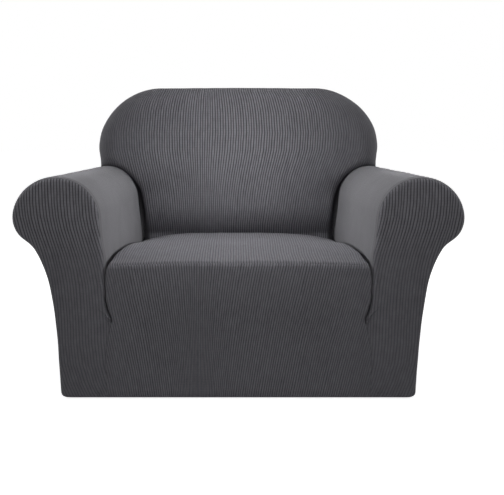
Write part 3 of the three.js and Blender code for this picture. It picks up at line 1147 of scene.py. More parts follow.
def rounded_edge(radius: float, turn: float, wall: float, count: int) -> list[Station]:
    """Steps over an edge that turns and then runs straight back.

    Args:
        radius: Radius of the turn.
        turn: Angle of the turn.
        wall: Length of the straight run.
        count: Number of steps.

    Returns:
        The stations, evenly spaced. The last stops just short of the seam.
    """
    length = radius * turn + wall
    gap = min(SEAM, length / SEAM_PART)
    stations = []
    for t in steps(0, 1, count):
        run = length * t - (gap if t == 1 else 0)
        angle = min(turn, run / radius)
        straight = max(0.0, run - radius * turn)
        inward = radius * (math.sin(turn) - math.sin(angle))
        stations.append(Station(inward, radius * (1 - math.cos(angle)) + straight, run))
    return stations


def edge_to(depth: float, count: int, radius: float = EDGE) -> list[Station]:
    """Returns steps over a rounded edge to a seam that lies at a depth behind the flat."""
    turn = math.acos(1 - depth / radius) if depth < radius else math.pi / 2
    return rounded_edge(radius, turn, max(0.0, depth - radius), count)


HALF_EDGE = edge_to(HALF_DEPTH, 4)


def hem_inset(z: float) -> float:
    """Returns how far the cloth is drawn in at a height above the hem."""
    return HEM_ROLL * (1 - math.sqrt(1 - (1 - clamp(z / HEM_ROLL)) ** 2))


HEM_ROWS = [share * HEM_ROLL for share in (0, 0.06, 0.18, 0.38, 0.66, 1)]


def patch(
    bottom: Sequence[Flat], top: Sequence[Flat], left: Sequence[Flat], right: Sequence[Flat]
) -> list[list[Flat]]:
    """Fills a field in a plane with points.

    Args:
        bottom: The row of points that bounds it below.
        top: The one above, with as many points.
        left: The one on the left, upwards.
        right: The one on the right, with as many points as the left.

    Returns:
        The rows of the field, its bounds among them.
    """
    columns, rows = len(bottom) - 1, len(left) - 1

    def mix(axis: int, i: int, j: int) -> float:
        """Works out one coordinate of a point.

        Args:
            axis: Which coordinate.
            i: Column of the point.
            j: Row of the point.

        Returns:
            The coordinate.
        """
        u, v = i / columns, j / rows
        low = lerp(bottom[0][axis], bottom[columns][axis], u)
        high = lerp(top[0][axis], top[columns][axis], u)
        across = lerp(bottom[i][axis], top[i][axis], v) + lerp(left[j][axis], right[j][axis], u)
        return across - lerp(low, high, v)

    return [[(mix(0, i, j), mix(1, i, j)) for i in range(columns + 1)] for j in range(rows + 1)]


# ---- The arms ----


@dataclass
class Arm:
    """A rolled arm: the wrap over it and its front panel, both made for the right arm."""

    seam_depth: float = 0.014  # depth of the crease between the apron and the arm
    crease_edge: float = 0.007  # radius of the arm's edge in that crease
    creases: Table = (  # heights, and how deep the crease is there
        (0.212, 0.00005),
        (0.226, 0.022),
        (0.250, 0.036),
        (0.275, 0.034),
        (0.300, 0.014),
    )
    gapes: Table = (  # heights, and how far its two sides gape there
        (0.218, 0.0),
        (0.232, 0.0022),
        (0.262, 0.0026),
        (0.300, 0.0),
    )
    seat_z: float = 0.381  # height of the seat's edges
    tuck_y: float = 0.245  # rear end of the tuck between the back and the arm
    fine_y: float = 0.105  # place from which the wrap's columns lie closer, up to that end
    fine_rows: Step = (0.322, 0.386)  # distances along the section between which its rows do
    under_back: float = 0.026  # how far the wrap reaches in under the back that stands on it
    edge_steps: int = 10
    shoulder_rows: int = 6  # rows of the front panel's field above the roll's underside
    seam_cell: float = 0.006  # distance between the points of its section beside the apron
    roll_cell: float = 0.007  # the same round the roll
    tuck_cell: float = 0.005  # the same for the wrap's rows in the tuck
    fine_cell: float = 0.0025  # the same where they lie closer
    row_gap: float = 0.002  # least distance from those to the next row
    beside_cell: float = 0.004  # distance between the wrap's columns beside the back
    path: Path = field(init=False)

    def __post_init__(self) -> None:
        """Works out the arm's section."""
        stretches = {
            "apron seam": Stretch(length=TUCK_Z),
            "tuck wall": Stretch(length=0.092),
            "start of the lean": Stretch(radius=0.300, turn=-4.5),
            "inner face": Stretch(length=0.090),
            "roll": Stretch(radius=0.113, turn=-80.5),
            "crown": Stretch(length=0.002),
            "outer roll": Stretch(radius=0.1215, turn=-86.5),
            "underside": Stretch(radius=0.070, turn=-60),
            "neck": Stretch(length=0.019),
            "waist": Stretch(radius=0.067, turn=21),
            "upper side": Stretch(radius=0.293, turn=21.5),
            "lower side": Stretch(radius=1.560, turn=6.5),
        }
        unfooted = Path(ARM_X, 0, 90, stretches.values())
        end = unfooted.at(unfooted.length)
        stretches["foot"] = Stretch(length=end.z / end.nx)
        self.path = Path(ARM_X, 0, 90, stretches.values())
        start = dict(zip(stretches, self.path.starts))
        self.roll_start, self.roll_top = start["roll"], start["crown"]
        self.underside, self.end = start["underside"], self.path.length
        self.stations = joined(
            HEM_ROWS,
            spread(HEM_ROLL, TUCK_Z, self.seam_cell),
            spread(TUCK_Z, self.roll_start),
            spread(self.roll_start, self.underside, self.roll_cell),
            spread(self.underside, self.end - HEM_ROLL),
            [self.end - z for z in reversed(HEM_ROWS)],
        )
        fine_start, fine_end = self.fine_rows
        self.wrap_stations = joined(
            spread(TUCK_Z, fine_start, self.tuck_cell),
            spread(fine_start, fine_end, self.fine_cell),
            [s for s in self.stations if s > fine_end + self.row_gap],
        )

    def crease(self, z: float, radius: float, count: int) -> list[Station]:
        """Steps over an edge into the crease between the apron and the arm.

        Args:
            z: The height.
            radius: Radius of the edge.
            count: Number of steps.

        Returns:
            The stations, drawn away from the seam's line where the crease gapes.
        """
        edge = edge_to(interpolated(self.creases, z), count, radius)
        gape, full = interpolated(self.gapes, z), edge[-1].deep
        return [Station(e.inward + gape * (1 - e.deep / full), e.deep, e.run) for e in edge]

    def open(self, s: float) -> float:
        """Returns how open the arm's front edge is: 1 in the open, 0 inside the tuck by the seat."""
        return 1.0 if s > self.roll_top else smooth(TUCK_Z, self.seat_z, self.path.at(s).z)

    def turn(self, s: float) -> float:
        """Returns the angle through which the front edge turns before its seam."""
        return lerp(math.pi / 2, math.pi / 4, self.open(s))

    def radius(self, s: float) -> float:
        """Returns the radius of the front edge."""
        return lerp(self.crease_edge, EDGE, self.open(s))

    def wall(self, s: float) -> float:
        """Returns how far the front edge runs straight back before its seam."""
        return (self.seam_depth - self.crease_edge) * (1 - self.open(s))

    def seam(self, s: float) -> float:
        """Returns how deep the seam of the front edge lies behind the front, above the crease."""
        return self.radius(s) * (1 - math.cos(self.turn(s))) + self.wall(s)

    def inset(self, s: float, distance: float) -> Flat:
        """Moves a point of the section inwards. The outer side is also drawn in at the hem.

        Args:
            s: Distance along the section.
            distance: How far in it is moved.

        Returns:
            Its place across and its height.
        """
        p = self.path.at(s)
        if s > self.roll_top and p.z < HEM_ROLL + EDGE:
            return p.x - p.nx * (distance + hem_inset(p.z)), p.z
        return p.x - p.nx * distance, p.z if s < TUCK_Z else p.z - p.nz * distance

    def seam_normal(self, s: float, towards: float) -> Vector:
        """Works out the normal on a seam.

        Args:
            s: Distance along the section.
            towards: -1 for the seam of the front edge, 1 for the rear edge.

        Returns:
            The normal.
        """
        if s < TUCK_Z:
            return Vector((0, -1, 0))
        p, turn = self.path.at(s), self.turn(s)
        return Vector((p.nx * math.sin(turn), towards * math.cos(turn), p.nz * math.sin(turn)))

    def _front_rim(self, s: float) -> list[Spot]:
        """Makes a row over the edge of the front panel.

        Args:
            s: Distance along the section.

        Returns:
            Points from the panel's field to its seam.
        """
        if s < TUCK_Z:
            edge = self.crease(s, self.crease_edge, self.edge_steps)
        else:
            edge = rounded_edge(self.radius(s), self.turn(s), self.wall(s), self.edge_steps)
        p, start = self.path.at(s), self.open(s) * HALF_DEPTH
        base = Place(*self.inset(s, start + edge[0].inward), p.nx, p.nz)
        row = []
        for station in edge:
            x, z = self.inset(s, start + station.inward)
            y = FRONT_Y + station.deep + hem_inset(z)
            row.append(Spot(x, y, z, base.moved(station.run)))
        row[-1].normal = self.seam_normal(s, -1)
        return row

    def front_panel(self) -> Panel:
        """Makes the front panel.

        Returns:
            A full field, and a rim up one side and down the other.
        """
        rims = [self._front_rim(s) for s in self.stations]
        outline = [rim[0].flat for rim in rims]
        rows = sum(s > self.underside - HAIR for s in self.stations) + self.shoulder_rows
        columns = len(outline) - 1 - 2 * rows
        left, right = outline[: rows + 1], outline[rows + columns :][::-1]
        bottom = [(lerp(left[0][0], right[0][0], t), 0.0) for t in steps(0, 1, columns)]
        inside = patch(bottom, outline[rows : rows + columns + 1], left, right)
        panel = Panel()
        panel.grid([[Spot(x, FRONT_Y + hem_inset(z), z, (x, z)) for x, z in row] for row in inside])
        panel.grid(transposed(rims))
        return panel

    def wrap(self) -> Panel:
        """Makes the wrap, from the tuck beside the seat over the roll to the hem.

        Returns:
            The panel, without the part of the roll on which the back stands.
        """
        wide = HALF_EDGE[0].inward
        before_back = round((self.fine_y - FRONT_Y) / CELL)
        beside_back = spread(self.fine_y, self.tuck_y, self.beside_cell)
        behind_back = round((REAR_Y - self.tuck_y) / CELL)
        rows: Rows = []
        for s in self.wrap_stations:
            hem = hem_inset(self.path.at(s).z) if s > self.roll_top else 0.0
            front, rear = FRONT_Y + self.seam(s) + hem, REAR_Y - HALF_DEPTH - hem
            row = []
            for station in reversed(HALF_EDGE):
                x, z = self.inset(s, station.deep * self.open(s))
                flat = (front + wide - station.run, s)
                row.append(Spot(x, front + station.inward, z, flat))
            body = joined(
                steps(front + wide, self.fine_y, before_back),
                beside_back,
                steps(self.tuck_y, rear - wide, behind_back),
            )
            x, z = self.inset(s, 0)
            row += [Spot(x, y, z, (y, s)) for y in body[1:]]
            for station in HALF_EDGE[1:]:
                x, z = self.inset(s, station.deep)
                row.append(Spot(x, rear - station.inward, z, (rear - wide + station.run, s)))
            row[0].normal, row[-1].normal = self.seam_normal(s, -1), self.seam_normal(s, 1)
            rows.append(row)
        cut = len(HALF_EDGE) + before_back + len(beside_back) - 2
        hidden = self.path.where(
            lambda p: p.x > BACK_HALF - self.under_back, self.roll_start, self.underside
        )
        free = sum(s <= hidden for s in self.wrap_stations)
        panel = Panel()
        panel.grid(transposed(rows), lambda i, j: i < cut or j >= free)
        return panel

    @staticmethod
    def folds(side: Side) -> list[Fold]:
        """Makes the small folds of a front panel: one below the crease, and one at the hem.

        Args:
            side: Which arm's.

        Returns:
            The folds.
        """

        def point(x: float, z: float) -> Vector:
            """Returns a point on the front, so far out from the middle of the chair."""
            return Vector((side.value * x, FRONT_Y, z))

        return [
            Fold(
                point(0.364, 0.206),
                point(0.378, 0.196),
                point(0.392, 0.170),
                depth=0.0014,
                width=0.008,
                deepest=0.3,
            ),
            Fold(
                point(0.366, 0.018),
                point(0.384, 0.016),
                point(0.408, 0.001),
                depth=0.0055,
                width=0.005,
                deepest=0.5,
            ),
        ]

    def pieces(
        self, side: Side, crease: Callable[[float], float], face: Callable[[float], float]
    ) -> list[ClothPiece]:
        """Makes one arm's pieces.

        Args:
            side: Which arm.
            crease: Gives the height of the seat's edge, by the place from front to back.
            face: Gives the place of the back's face, by the height.

        Returns:
            The wrap and the front panel.
        """
        word, undercut = side.name.lower(), Undercut(crease)
        return [
            ClothPiece(
                f"arm_wrap_{word}",
                self.wrap(),
                WRAP_FLOW,
                flat=(0.80, 1.02),
                cut_area=0.73,
                # the wrap's cloth is painted lighter: painted light on the arm's inner face and top
                cloth=ARM_CLOTH_PAINTED_LIGHTER,
                relief=(undercut, Recess(face, self.tuck_y)),
                side=side,
            ),
            ClothPiece(
                f"arm_front_{word}",
                self.front_panel(),
                ARM_FRONT_FLOW,
                flat=(0.23, 0.56),
                cut_area=0.082,
                relief=(undercut, Swell(), *self.folds(side)),
                side=side,
            ),
        ]


# ---- The back ----


@dataclass
class Back:
    """The back: its inside with soft edges, which tucks in against the arms, and its outside."""

    arm: Arm
    corner: float = 0.240  # radius of the two top corners
    edge_across: float = 0.085  # width of the soft edge of its face
    edge_deep: float = 0.095
    chest_y: float = BACK_BOX[0].y  # the most forward line of the face
    chest_z: float = 0.470
    lean: float = 0.62  # how fast the face falls back above that line
    belly: float = 3.0  # how fast it falls back below it, towards the seat
    foot_z: float = 0.36  # height below which it falls back no further
    crown: float = 0.040  # how far it falls back towards its sides
    widens: Step = (0.500, 0.640)  # heights over which the face widens above the arms
    tuck_roll: float = 0.022  # radius with which the face turns into its tucks
    slot: float = 0.017  # width of the open crease beside the arm, down at the seat
    slot_z: Step = (0.600, 0.440)  # heights over which it opens
    slot_x: float = 0.36  # place at which the depth of the face beside it is read
    pinch: float = 0.013  # how far its sides are drawn in where they stand on the arms
    pinch_share: float = 0.35  # share of it that is drawn in higher up
    pinch_high: Step = (0.76, 0.67)  # heights over which that share is drawn in
    pinch_low: Step = (0.690, 0.616)  # heights over which the rest is
    resting: Step = (60, 90)  # degrees of the soft edge over which it comes to rest on the arm
    tucked: Step = (45, 20)  # degrees over which it runs on into the tuck
    soft_steps: int = 14
    roll_steps: int = 7
    wall_steps: int = 9
    side_steps: int = 18
    columns: int = 56
    top_share: float = 0.6  # share of the columns that end on the straight part of the top
    rear_cell: float = 1.4 * CELL  # distance between the columns of the outside back
    rear_gap: float = 0.003  # least distance from the back's corner to its next row
    path: Path = field(init=False)

    def __post_init__(self) -> None:
        """Works out the outline of the back, from the middle of the top to the arm."""
        self.soft_edge = [
            (self.edge_across * (1 - math.sin(angle)), self.edge_deep * (1 - math.cos(angle)))
            for angle in steps(0, math.pi / 2, self.soft_steps)
        ]
        low_half = BACK_HALF - self.pinch
        self.standing = [
            self.arm.path.where(
                lambda p, i=inset: p.x > low_half - i, self.arm.roll_start, self.arm.underside
            )
            for inset, _ in self.soft_edge
        ]
        self.seated = self.arm.path.at(self.standing[-1])
        self.top_length = BACK_HALF - self.corner
        self.corner_end = self.top_length + self.corner * math.pi / 2
        stretches = [
            Stretch(length=self.top_length),
            Stretch(radius=self.corner, turn=90),
            Stretch(length=BACK_TOP - self.corner - self.seated.z),
        ]
        self.path = Path(0, BACK_TOP, 180, stretches)
        self.seam_y = REAR_Y - HALF_DEPTH

    def face_y(self, x: float, z: float) -> float:
        """Finds where the face of the back lies, before its edges turn.

        Args:
            x: Place across.
            z: Height.

        Returns:
            The place from front to back.
        """
        half = lerp(ARM_X, BACK_HALF, smooth(*self.widens, z))
        rise = max(z, self.foot_z) - self.chest_z
        bow = (self.lean if rise > 0 else self.belly) * rise**2
        return self.chest_y + bow + self.crown * (x / half) ** 2

    def arm_face(self, z: float) -> float:
        """Returns where the face lies at a height beside the arm."""
        return self.face_y(self.slot_x, z)

    def _face_spot(self, x: float, z: float) -> Spot:
        """Returns a point of the face."""
        return Spot(x, self.face_y(x, z), z, (x, z))

    def outline(self, s: float) -> Place:
        """Finds a place of the right half of the outline.

        Args:
            s: Distance from the middle of the top.

        Returns:
            The place, with the normal pointing out.
        """
        p, share = self.path.at(s), self.pinch_share
        high, low = smooth(*self.pinch_high, p.z), smooth(*self.pinch_low, p.z)
        return Place(-p.x - self.pinch * (share * high + (1 - share) * low), p.z, p.nx, -p.nz)

    def free_edge(self, p: Place) -> list[Spot]:
        """Makes a row over the free edge.

        Args:
            p: The place of the outline that it passes.

        Returns:
            Points from the face over the soft edge and along the side to the rear seam.
        """
        points: list[tuple[float, float, float]] = []
        for inset, back in self.soft_edge:
            x, z = p.moved(-inset)
            points.append((x, self.face_y(x, z) + back, z))
        side = steps(points[-1][1], self.seam_y - HALF_EDGE[0].inward, self.side_steps)
        points += [(p.x, y, p.z) for y in side[1:]]
        for station in HALF_EDGE[1:]:
            x, z = p.moved(-station.deep)
            points.append((x, self.seam_y - station.inward, z))
        base = p.shifted(-self.edge_across)
        run, spots = 0.0, []
        for before, point in zip([points[0], *points], points):
            run += math.dist(before, point)
            spots.append(Spot(*point, base.moved(run)))
        spots[-1].normal = Vector((p.nx, 1, p.nz))
        return spots

    def tuck(self, s: float) -> list[tuple[Spot, float, float]]:
        """Makes a row from the face into the tuck against the arm.

        Args:
            s: Distance along the arm's section.

        Returns:
            Each point, with how far it is out from the arm and how far back from the face.
        """
        p = self.arm.path.at(s)
        gap = TOUCH + self.slot * smooth(*self.slot_z, p.z)
        base = p.shifted(gap + self.tuck_roll)
        found = []
        for angle in steps(0, math.pi / 2, self.roll_steps):
            out = gap + self.tuck_roll * (1 - math.sin(angle))
            back = self.tuck_roll * (1 - math.cos(angle))
            x, z = p.moved(out)
            spot = Spot(x, self.face_y(x, z) + back, z, base.moved(-self.tuck_roll * angle))
            found.append((spot, out, back))
        turned = found[-1][0].y
        for share in steps(0, 1, self.wall_steps)[1:]:
            out = lerp(gap, TOUCH, share**2)
            y = lerp(turned, self.arm.tuck_y, share)
            x, z = p.moved(out)
            flat = base.moved(turned - y - self.tuck_roll * math.pi / 2)
            found.append((Spot(x, y, z, flat), out, self.tuck_roll + y - turned))
        return found

    def standing_rows(self, height: float) -> Rows:
        """Makes the corner that stands on an arm.

        Args:
            height: How far above the arm its highest row lies.

        Returns:
            Its rows, from the face to the seam, the highest first.
        """
        walls = self.free_edge(Place(self.seated.x, self.seated.z + height, 1, 0))
        tucks = [self.tuck(s) for s in self.standing]
        rows: Rows = []
        for j in range(self.roll_steps + self.wall_steps + 1):
            row = []
            for i, wall in enumerate(walls):
                on_edge = min(i, self.soft_steps)
                p = self.arm.path.at(self.standing[on_edge])
                angle = on_edge / self.soft_steps * 90
                _, out, back = tucks[on_edge][min(j, self.roll_steps)]
                upright = smooth(self.seated.x - self.edge_across, self.seated.x, p.x)
                x = p.x + lerp(p.nx, 0, upright) * out
                z = p.z + lerp(p.nz, 1, upright) * out - (CLOTH / 2) * smooth(*self.resting, angle)
                facing = math.cos(math.radians(angle))
                y = self.face_y(x, z) + self.soft_edge[on_edge][1] + back * facing**2
                if i > self.soft_steps:
                    x -= max(0.0, self.seated.x - wall.x)
                    y = max(y, wall.y)
                if j > self.roll_steps:
                    share = (j - self.roll_steps) / self.wall_steps
                    y += max(0.0, (self.arm.tuck_y - y) * smooth(*self.tucked, angle)) * share
                flat = (wall.flat[0], wall.flat[1] - (height - out))
                row.append(Spot(x, y, z, flat, wall.normal))
            rows.append(row)
        return rows

    def inside(self) -> Panel:
        """Makes the inside back.

        Returns:
            Its face, soft edge and tucks, and the corners that stand on the arms.
        """
        foot = self.tuck_roll + TOUCH
        sides = joined(
            spread(TUCK_Z, self.arm.seat_z),
            spread(self.arm.seat_z, self.arm.roll_start),
            spread(self.arm.roll_start, self.standing[0], self.arm.roll_cell),
        )
        tucks = [[spot for spot, _, _ in self.tuck(s)] for s in sides]
        low_face = [
            [self._face_spot(x, row[0].z) for x in steps(0, row[0].x, self.columns)]
            for row in tucks
        ]
        corner_middle = (self.top_length + self.corner_end) / 2
        straight = round(self.columns * self.top_share)
        outline = joined(
            steps(0, self.top_length, straight),
            steps(self.top_length, corner_middle, self.columns - straight),
            spread(corner_middle, self.corner_end),
            spread(self.corner_end, self.path.length - foot),
        )
        rims = [self.free_edge(self.outline(s)) for s in outline[:-1]]
        bottom = [(spot.x, spot.z) for spot in low_face[-1]]
        inner = [(rim[0].x, rim[0].z) for rim in rims]
        right = [bottom[-1], *inner[self.columns :][::-1]]
        left = [(0.0, z) for z in steps(bottom[0][1], BACK_TOP - self.edge_across, len(right) - 1)]
        high_face = patch(bottom, inner[: self.columns + 1], left, right)
        corner = self.standing_rows(foot)
        panel = Panel()
        panel.halves(low_face)
        panel.halves([[self._face_spot(x, z) for x, z in row] for row in high_face])
        panel.halves(tucks)
        panel.halves(corner[::-1])
        panel.halves([*rims, corner[0]][::-1])
        return panel

    def outside(self) -> Panel:
        """Makes the outside back.

        Returns:
            Rows from the hem to the top, and the rounded edge all round.
        """
        sides, first = [], self.standing[-1] + self.rear_gap
        for s in reversed([s for s in self.arm.stations if s > first]):
            p = self.arm.path.at(s)
            x = p.x - (hem_inset(p.z) if p.z < HEM_ROLL else 0)
            sides.append(Place(x, p.z, p.nx, 0 if p.z < HEM_ROLL + EDGE else p.nz))
        seated, end = self.seated, self.path.length
        sides.append(Place(seated.x, seated.z, 1, (1 - seated.nx) / seated.nz))
        upwards = joined(
            [end, end - 2 * EDGE],
            spread(end - 2 * EDGE, self.corner_end),
            spread(self.corner_end, self.top_length),
        )
        rims = [self._rear_rim(p) for p in (*sides, *map(self.outline, upwards[1:]))]
        columns = round(BACK_HALF / self.rear_cell)
        rows = [
            [Spot(x, rim[0].y, rim[0].z, (x, rim[0].z)) for x in steps(0, rim[0].x, columns)]
            for rim in rims
        ]
        over_top = [self._rear_rim(self.outline(s)) for s in steps(0, self.top_length, columns)]
        panel = Panel()
        panel.halves(rows[::-1])
        panel.halves(rims[::-1])
        panel.halves(transposed(over_top)[::-1])
        return panel

    def _rear_rim(self, p: Place) -> list[Spot]:
        """Makes a row over the rounded edge of the outside back.

        Args:
            p: The place of the outline that it passes.

        Returns:
            Points from the flat of the outside back to the seam.
        """
        base = p.shifted(-HALF_DEPTH - HALF_EDGE[0].inward)
        row = []
        for station in HALF_EDGE:
            x, z = p.moved(-HALF_DEPTH - station.inward)
            y = REAR_Y - station.deep - hem_inset(p.z)
            row.append(Spot(x, y, z, base.moved(station.run)))
        row[-1].normal = Vector((p.nx, 1, p.nz))
        return row

    def pieces(self) -> list[ClothPiece]:
        """Makes the back's pieces.

        Returns:
            The inside and the outside of the back.
        """
        return [
            ClothPiece("back_inside", self.inside(), BACK_FLOW, flat=(1.20, 0.85), cut_area=0.71),
            ClothPiece("back_outside", self.outside(), OUTSIDE_FLOW, flat=(1.10, 0.86), cut_area=0.80),
        ]


# ---- The seat and the apron ----


@dataclass
class Seat:
    """The seat deck and the front apron, which share the seam along the seat's front edge."""

    arm: Arm
    back: Back
    half: float = ARM_X - TOUCH
    crown: float = 0.008  # fullness half way back
    drop: float = 0.006  # fall towards the sides
    rear_drop: float = 0.013  # fall towards the rear
    corner_drop: float = 0.033  # how much further its rear corners fall
    corner_rear: float = 2.8  # power of the way to the rear with which they do
    corner_side: float = 3.5  # the same of the way across
    hollow: float = 0.007  # how far the apron lies behind its fullest line
    full_z: float = 0.305  # height of that line
    full_spread: float = 0.095  # how far its fullness reaches up and down
    hollow_x: Step = (ARM_X - 0.020, ARM_X - 0.120)  # places across over which it may lie back
    hollow_z: Step = (0.0, 0.1)  # heights over which it may
    side_edge: float = 0.009  # radius of the apron's edges beside the arms
    low_edge: float = 0.008  # the same lower down
    low_edge_z: float = 0.270  # height up to which the lower radius holds
    edge_steps: int = 14
    deck_rows: int = 62
    fine_band: float = 0.034  # width beside the crease with closer columns
    fine_cell: float = 0.0026  # distance between those
    fine_z: float = 0.2  # height above which the apron's rows lie closer
    even_z: float = TUCK_Z - 0.02  # height above which they follow the curve of the seam
    apron_cell: float = 0.005  # distance between its rows from the one to the other
    seam_rows: int = 13  # rows from there to the seam
    seam_run: float = 0.003  # length of cloth between two rows over the seam's edge

    def __post_init__(self) -> None:
        """Works out the edges and the columns of the right half."""
        self.depth = self.arm.seat_z - 2 * self.drop - TUCK_Z
        self.seat_edge = edge_to(self.depth, self.edge_steps)
        self.apron_edge = edge_to(self.arm.seam_depth, self.edge_steps, self.side_edge)
        flat_width = self.half - self.apron_edge[0].inward
        fine = 1 - self.fine_band / flat_width
        across = joined(
            spread(0, fine, CELL / flat_width), spread(fine, 1, self.fine_cell / flat_width)
        )
        self.columns = [(share, 0) for share in across[:-1]]
        self.columns += [(1.0, k) for k in range(self.edge_steps + 1)]

    def top(self, x: float, y: float) -> float:
        """Finds the height of the seat, before its edges turn.

        Args:
            x: Place across.
            y: Place from front to back.

        Returns:
            The height.
        """
        t = clamp((y - FRONT_Y) / (self.back.chest_y - FRONT_Y))
        across = abs(x) / self.half
        corner = self.corner_drop * t**self.corner_rear * across**self.corner_side
        fall = self.drop * across**2 + self.rear_drop * t + corner
        return self.arm.seat_z + self.crown * math.sin(math.pi * t) - fall

    def arm_top(self, y: float) -> float:
        """Returns the height of the seat's edge beside the arm."""
        return self.top(self.half, y)

    def front(self, x: float, z: float, deep: float) -> float:
        """Finds where the apron lies.

        Args:
            x: Place across.
            z: Height.
            deep: Depth behind its face.

        Returns:
            The place from front to back.
        """
        full = math.exp(-(((z - self.full_z) / self.full_spread) ** 2))
        inner = smooth(*self.hollow_x, abs(x)) * smooth(*self.hollow_z, z)
        return FRONT_Y + self.hollow * (1 - full) * inner + deep + hem_inset(z)

    def seam(self, across: float, k: int) -> tuple[Vector, Vector]:
        """Finds a point of the seam between seat and apron.

        Args:
            across: Share of the seat's width.
            k: Number of the station on its side edge.

        Returns:
            The point, and the seam's normal there.
        """
        side = self.apron_edge[k]
        x = across * (self.half - side.inward)
        z = self.top(x, FRONT_Y) - math.hypot(self.seat_edge[k].deep, HALF_DEPTH)
        y = self.front(x, z, math.hypot(side.deep, HALF_DEPTH))
        turned = min(math.pi / 2, side.run / self.side_edge)
        leaning = math.cos(turned) * math.sqrt(0.5)
        return Vector((x, y, z)), Vector((math.sin(turned), -leaning, leaning))

    def apron(self) -> Panel:
        """Makes the apron.

        Returns:
            Rows from the hem to the front seam.
        """
        low = joined(
            HEM_ROWS,
            spread(HEM_ROLL, self.fine_z),
            spread(self.fine_z, self.even_z, self.apron_cell),
        )
        columns: Rows = []
        for across, k in self.columns:
            seam, normal = self.seam(across, k)
            column = []
            for z in joined(low, steps(self.even_z, seam.z - HALF_EDGE[0].inward, self.seam_rows)):
                radius = lerp(self.low_edge, self.side_edge, smooth(self.low_edge_z, TUCK_Z, z))
                edge = self.arm.crease(z, radius, self.edge_steps)
                x = across * (self.half - edge[k].inward)
                run = edge[k].run - (edge[0].inward - edge[k].inward)
                column.append(Spot(x, self.front(x, z, edge[k].deep), z, (x + run, z)))
            flat = column[-1].flat
            for i, station in enumerate(HALF_EDGE[1:], 1):
                z = seam.z - station.inward
                y = self.front(seam.x, z, math.hypot(self.apron_edge[k].deep, station.deep))
                column.append(Spot(seam.x, y, z, (flat[0], flat[1] + self.seam_run * i)))
            column[-1].normal = normal
            columns.append(column)
        for spot in columns[-1][:-1]:
            spot.normal = Vector((0, -1, 0))
        panel = Panel()
        panel.halves(transposed(columns))
        return panel

    def deck(self) -> Panel:
        """Makes the seat deck.

        Returns:
            Rows from the front seam to the bottom of the tuck behind the seat.
        """
        columns: Rows = []
        reach, wide = self.seat_edge[0].inward, HALF_EDGE[0].inward
        for across, k in self.columns:
            seam, normal = self.seam(across, k)
            side = self.seat_edge[k]
            flat_x = seam.x + side.run - (reach - side.inward)
            rear = self.back.face_y(seam.x, 0) - TOUCH
            # place, depth over the front or rear edge, and place on the flat cloth
            front_rows = [(seam.y + e.inward, e.deep, seam.y + e.inward) for e in HALF_EDGE[::-1]]
            body = [(y, 0, y) for y in steps(seam.y + wide, rear - reach, self.deck_rows)[1:]]
            rear_rows = [
                (rear - e.inward, e.deep, rear - reach + e.run) for e in self.seat_edge[1:]
            ]
            column = [
                self._deck_spot(seam.x, y, side.deep, end, (flat_x, flat_y))
                for y, end, flat_y in (*front_rows, *body, *rear_rows)
            ]
            column[0].normal = normal
            columns.append(column)
        rolled = next(k for k, s in enumerate(self.seat_edge) if s.run >= EDGE * math.pi / 2)
        rear_cut = len(columns[0]) - len(self.seat_edge) + rolled
        side_cut = len(self.columns) - len(self.seat_edge) + rolled
        panel = Panel()
        panel.halves(transposed(columns), lambda i, j: i < rear_cut or j < side_cut)
        return panel

    def _deck_spot(self, x: float, y: float, side: float, end: float, flat: Flat) -> Spot:
        """Makes a point of the seat.

        Args:
            x: Place across.
            y: Place from front to back.
            side: Depth over its side edge.
            end: Depth over its front or rear edge.
            flat: Place on the cloth laid flat.

        Returns:
            The point, lowered over the edges.
        """
        top = self.top(x, y)
        reach = (top - TUCK_Z) / (self.top(x, FRONT_Y) - TUCK_Z)
        return Spot(x, y, top - reach * min(self.depth, math.hypot(side, end)), flat)

    def pieces(self) -> list[ClothPiece]:
        """Makes the seat's pieces.

        Returns:
            The seat deck and the front apron.
        """
        return [
            ClothPiece("seat_deck", self.deck(), SEAT_FLOW, flat=(0.78, 0.60), cut_area=0.44),
            ClothPiece("front_apron", self.apron(), APRON_FLOW, flat=(0.72, 0.36), cut_area=0.24),
        ]


# ---- The studio ----


@dataclass(frozen=True)
class Lamp:
    """A soft rectangular lamp."""

    name: str
    place: tuple[float, float, float]
    target: tuple[float, float, float]
    size: tuple[float, float]  # width and height
    power: float  # watts
    spread: float = 180.0  # degrees through which a grid in front of it lets the light spread

    def hang(self) -> None:
        """Adds the lamp."""
        data = bpy.data.lights.new(self.name, "AREA")
        data.shape = "RECTANGLE"
        data.size, data.size_y = self.size
        data.energy = self.power
        data.spread = math.radians(self.spread)
        lamp = placed(self.name, data)
        lamp.visible_camera = False
        lamp.location = self.place
        way = Vector(self.target) - Vector(self.place)
        lamp.rotation_euler = way.to_track_quat("-Z", "Y").to_euler()


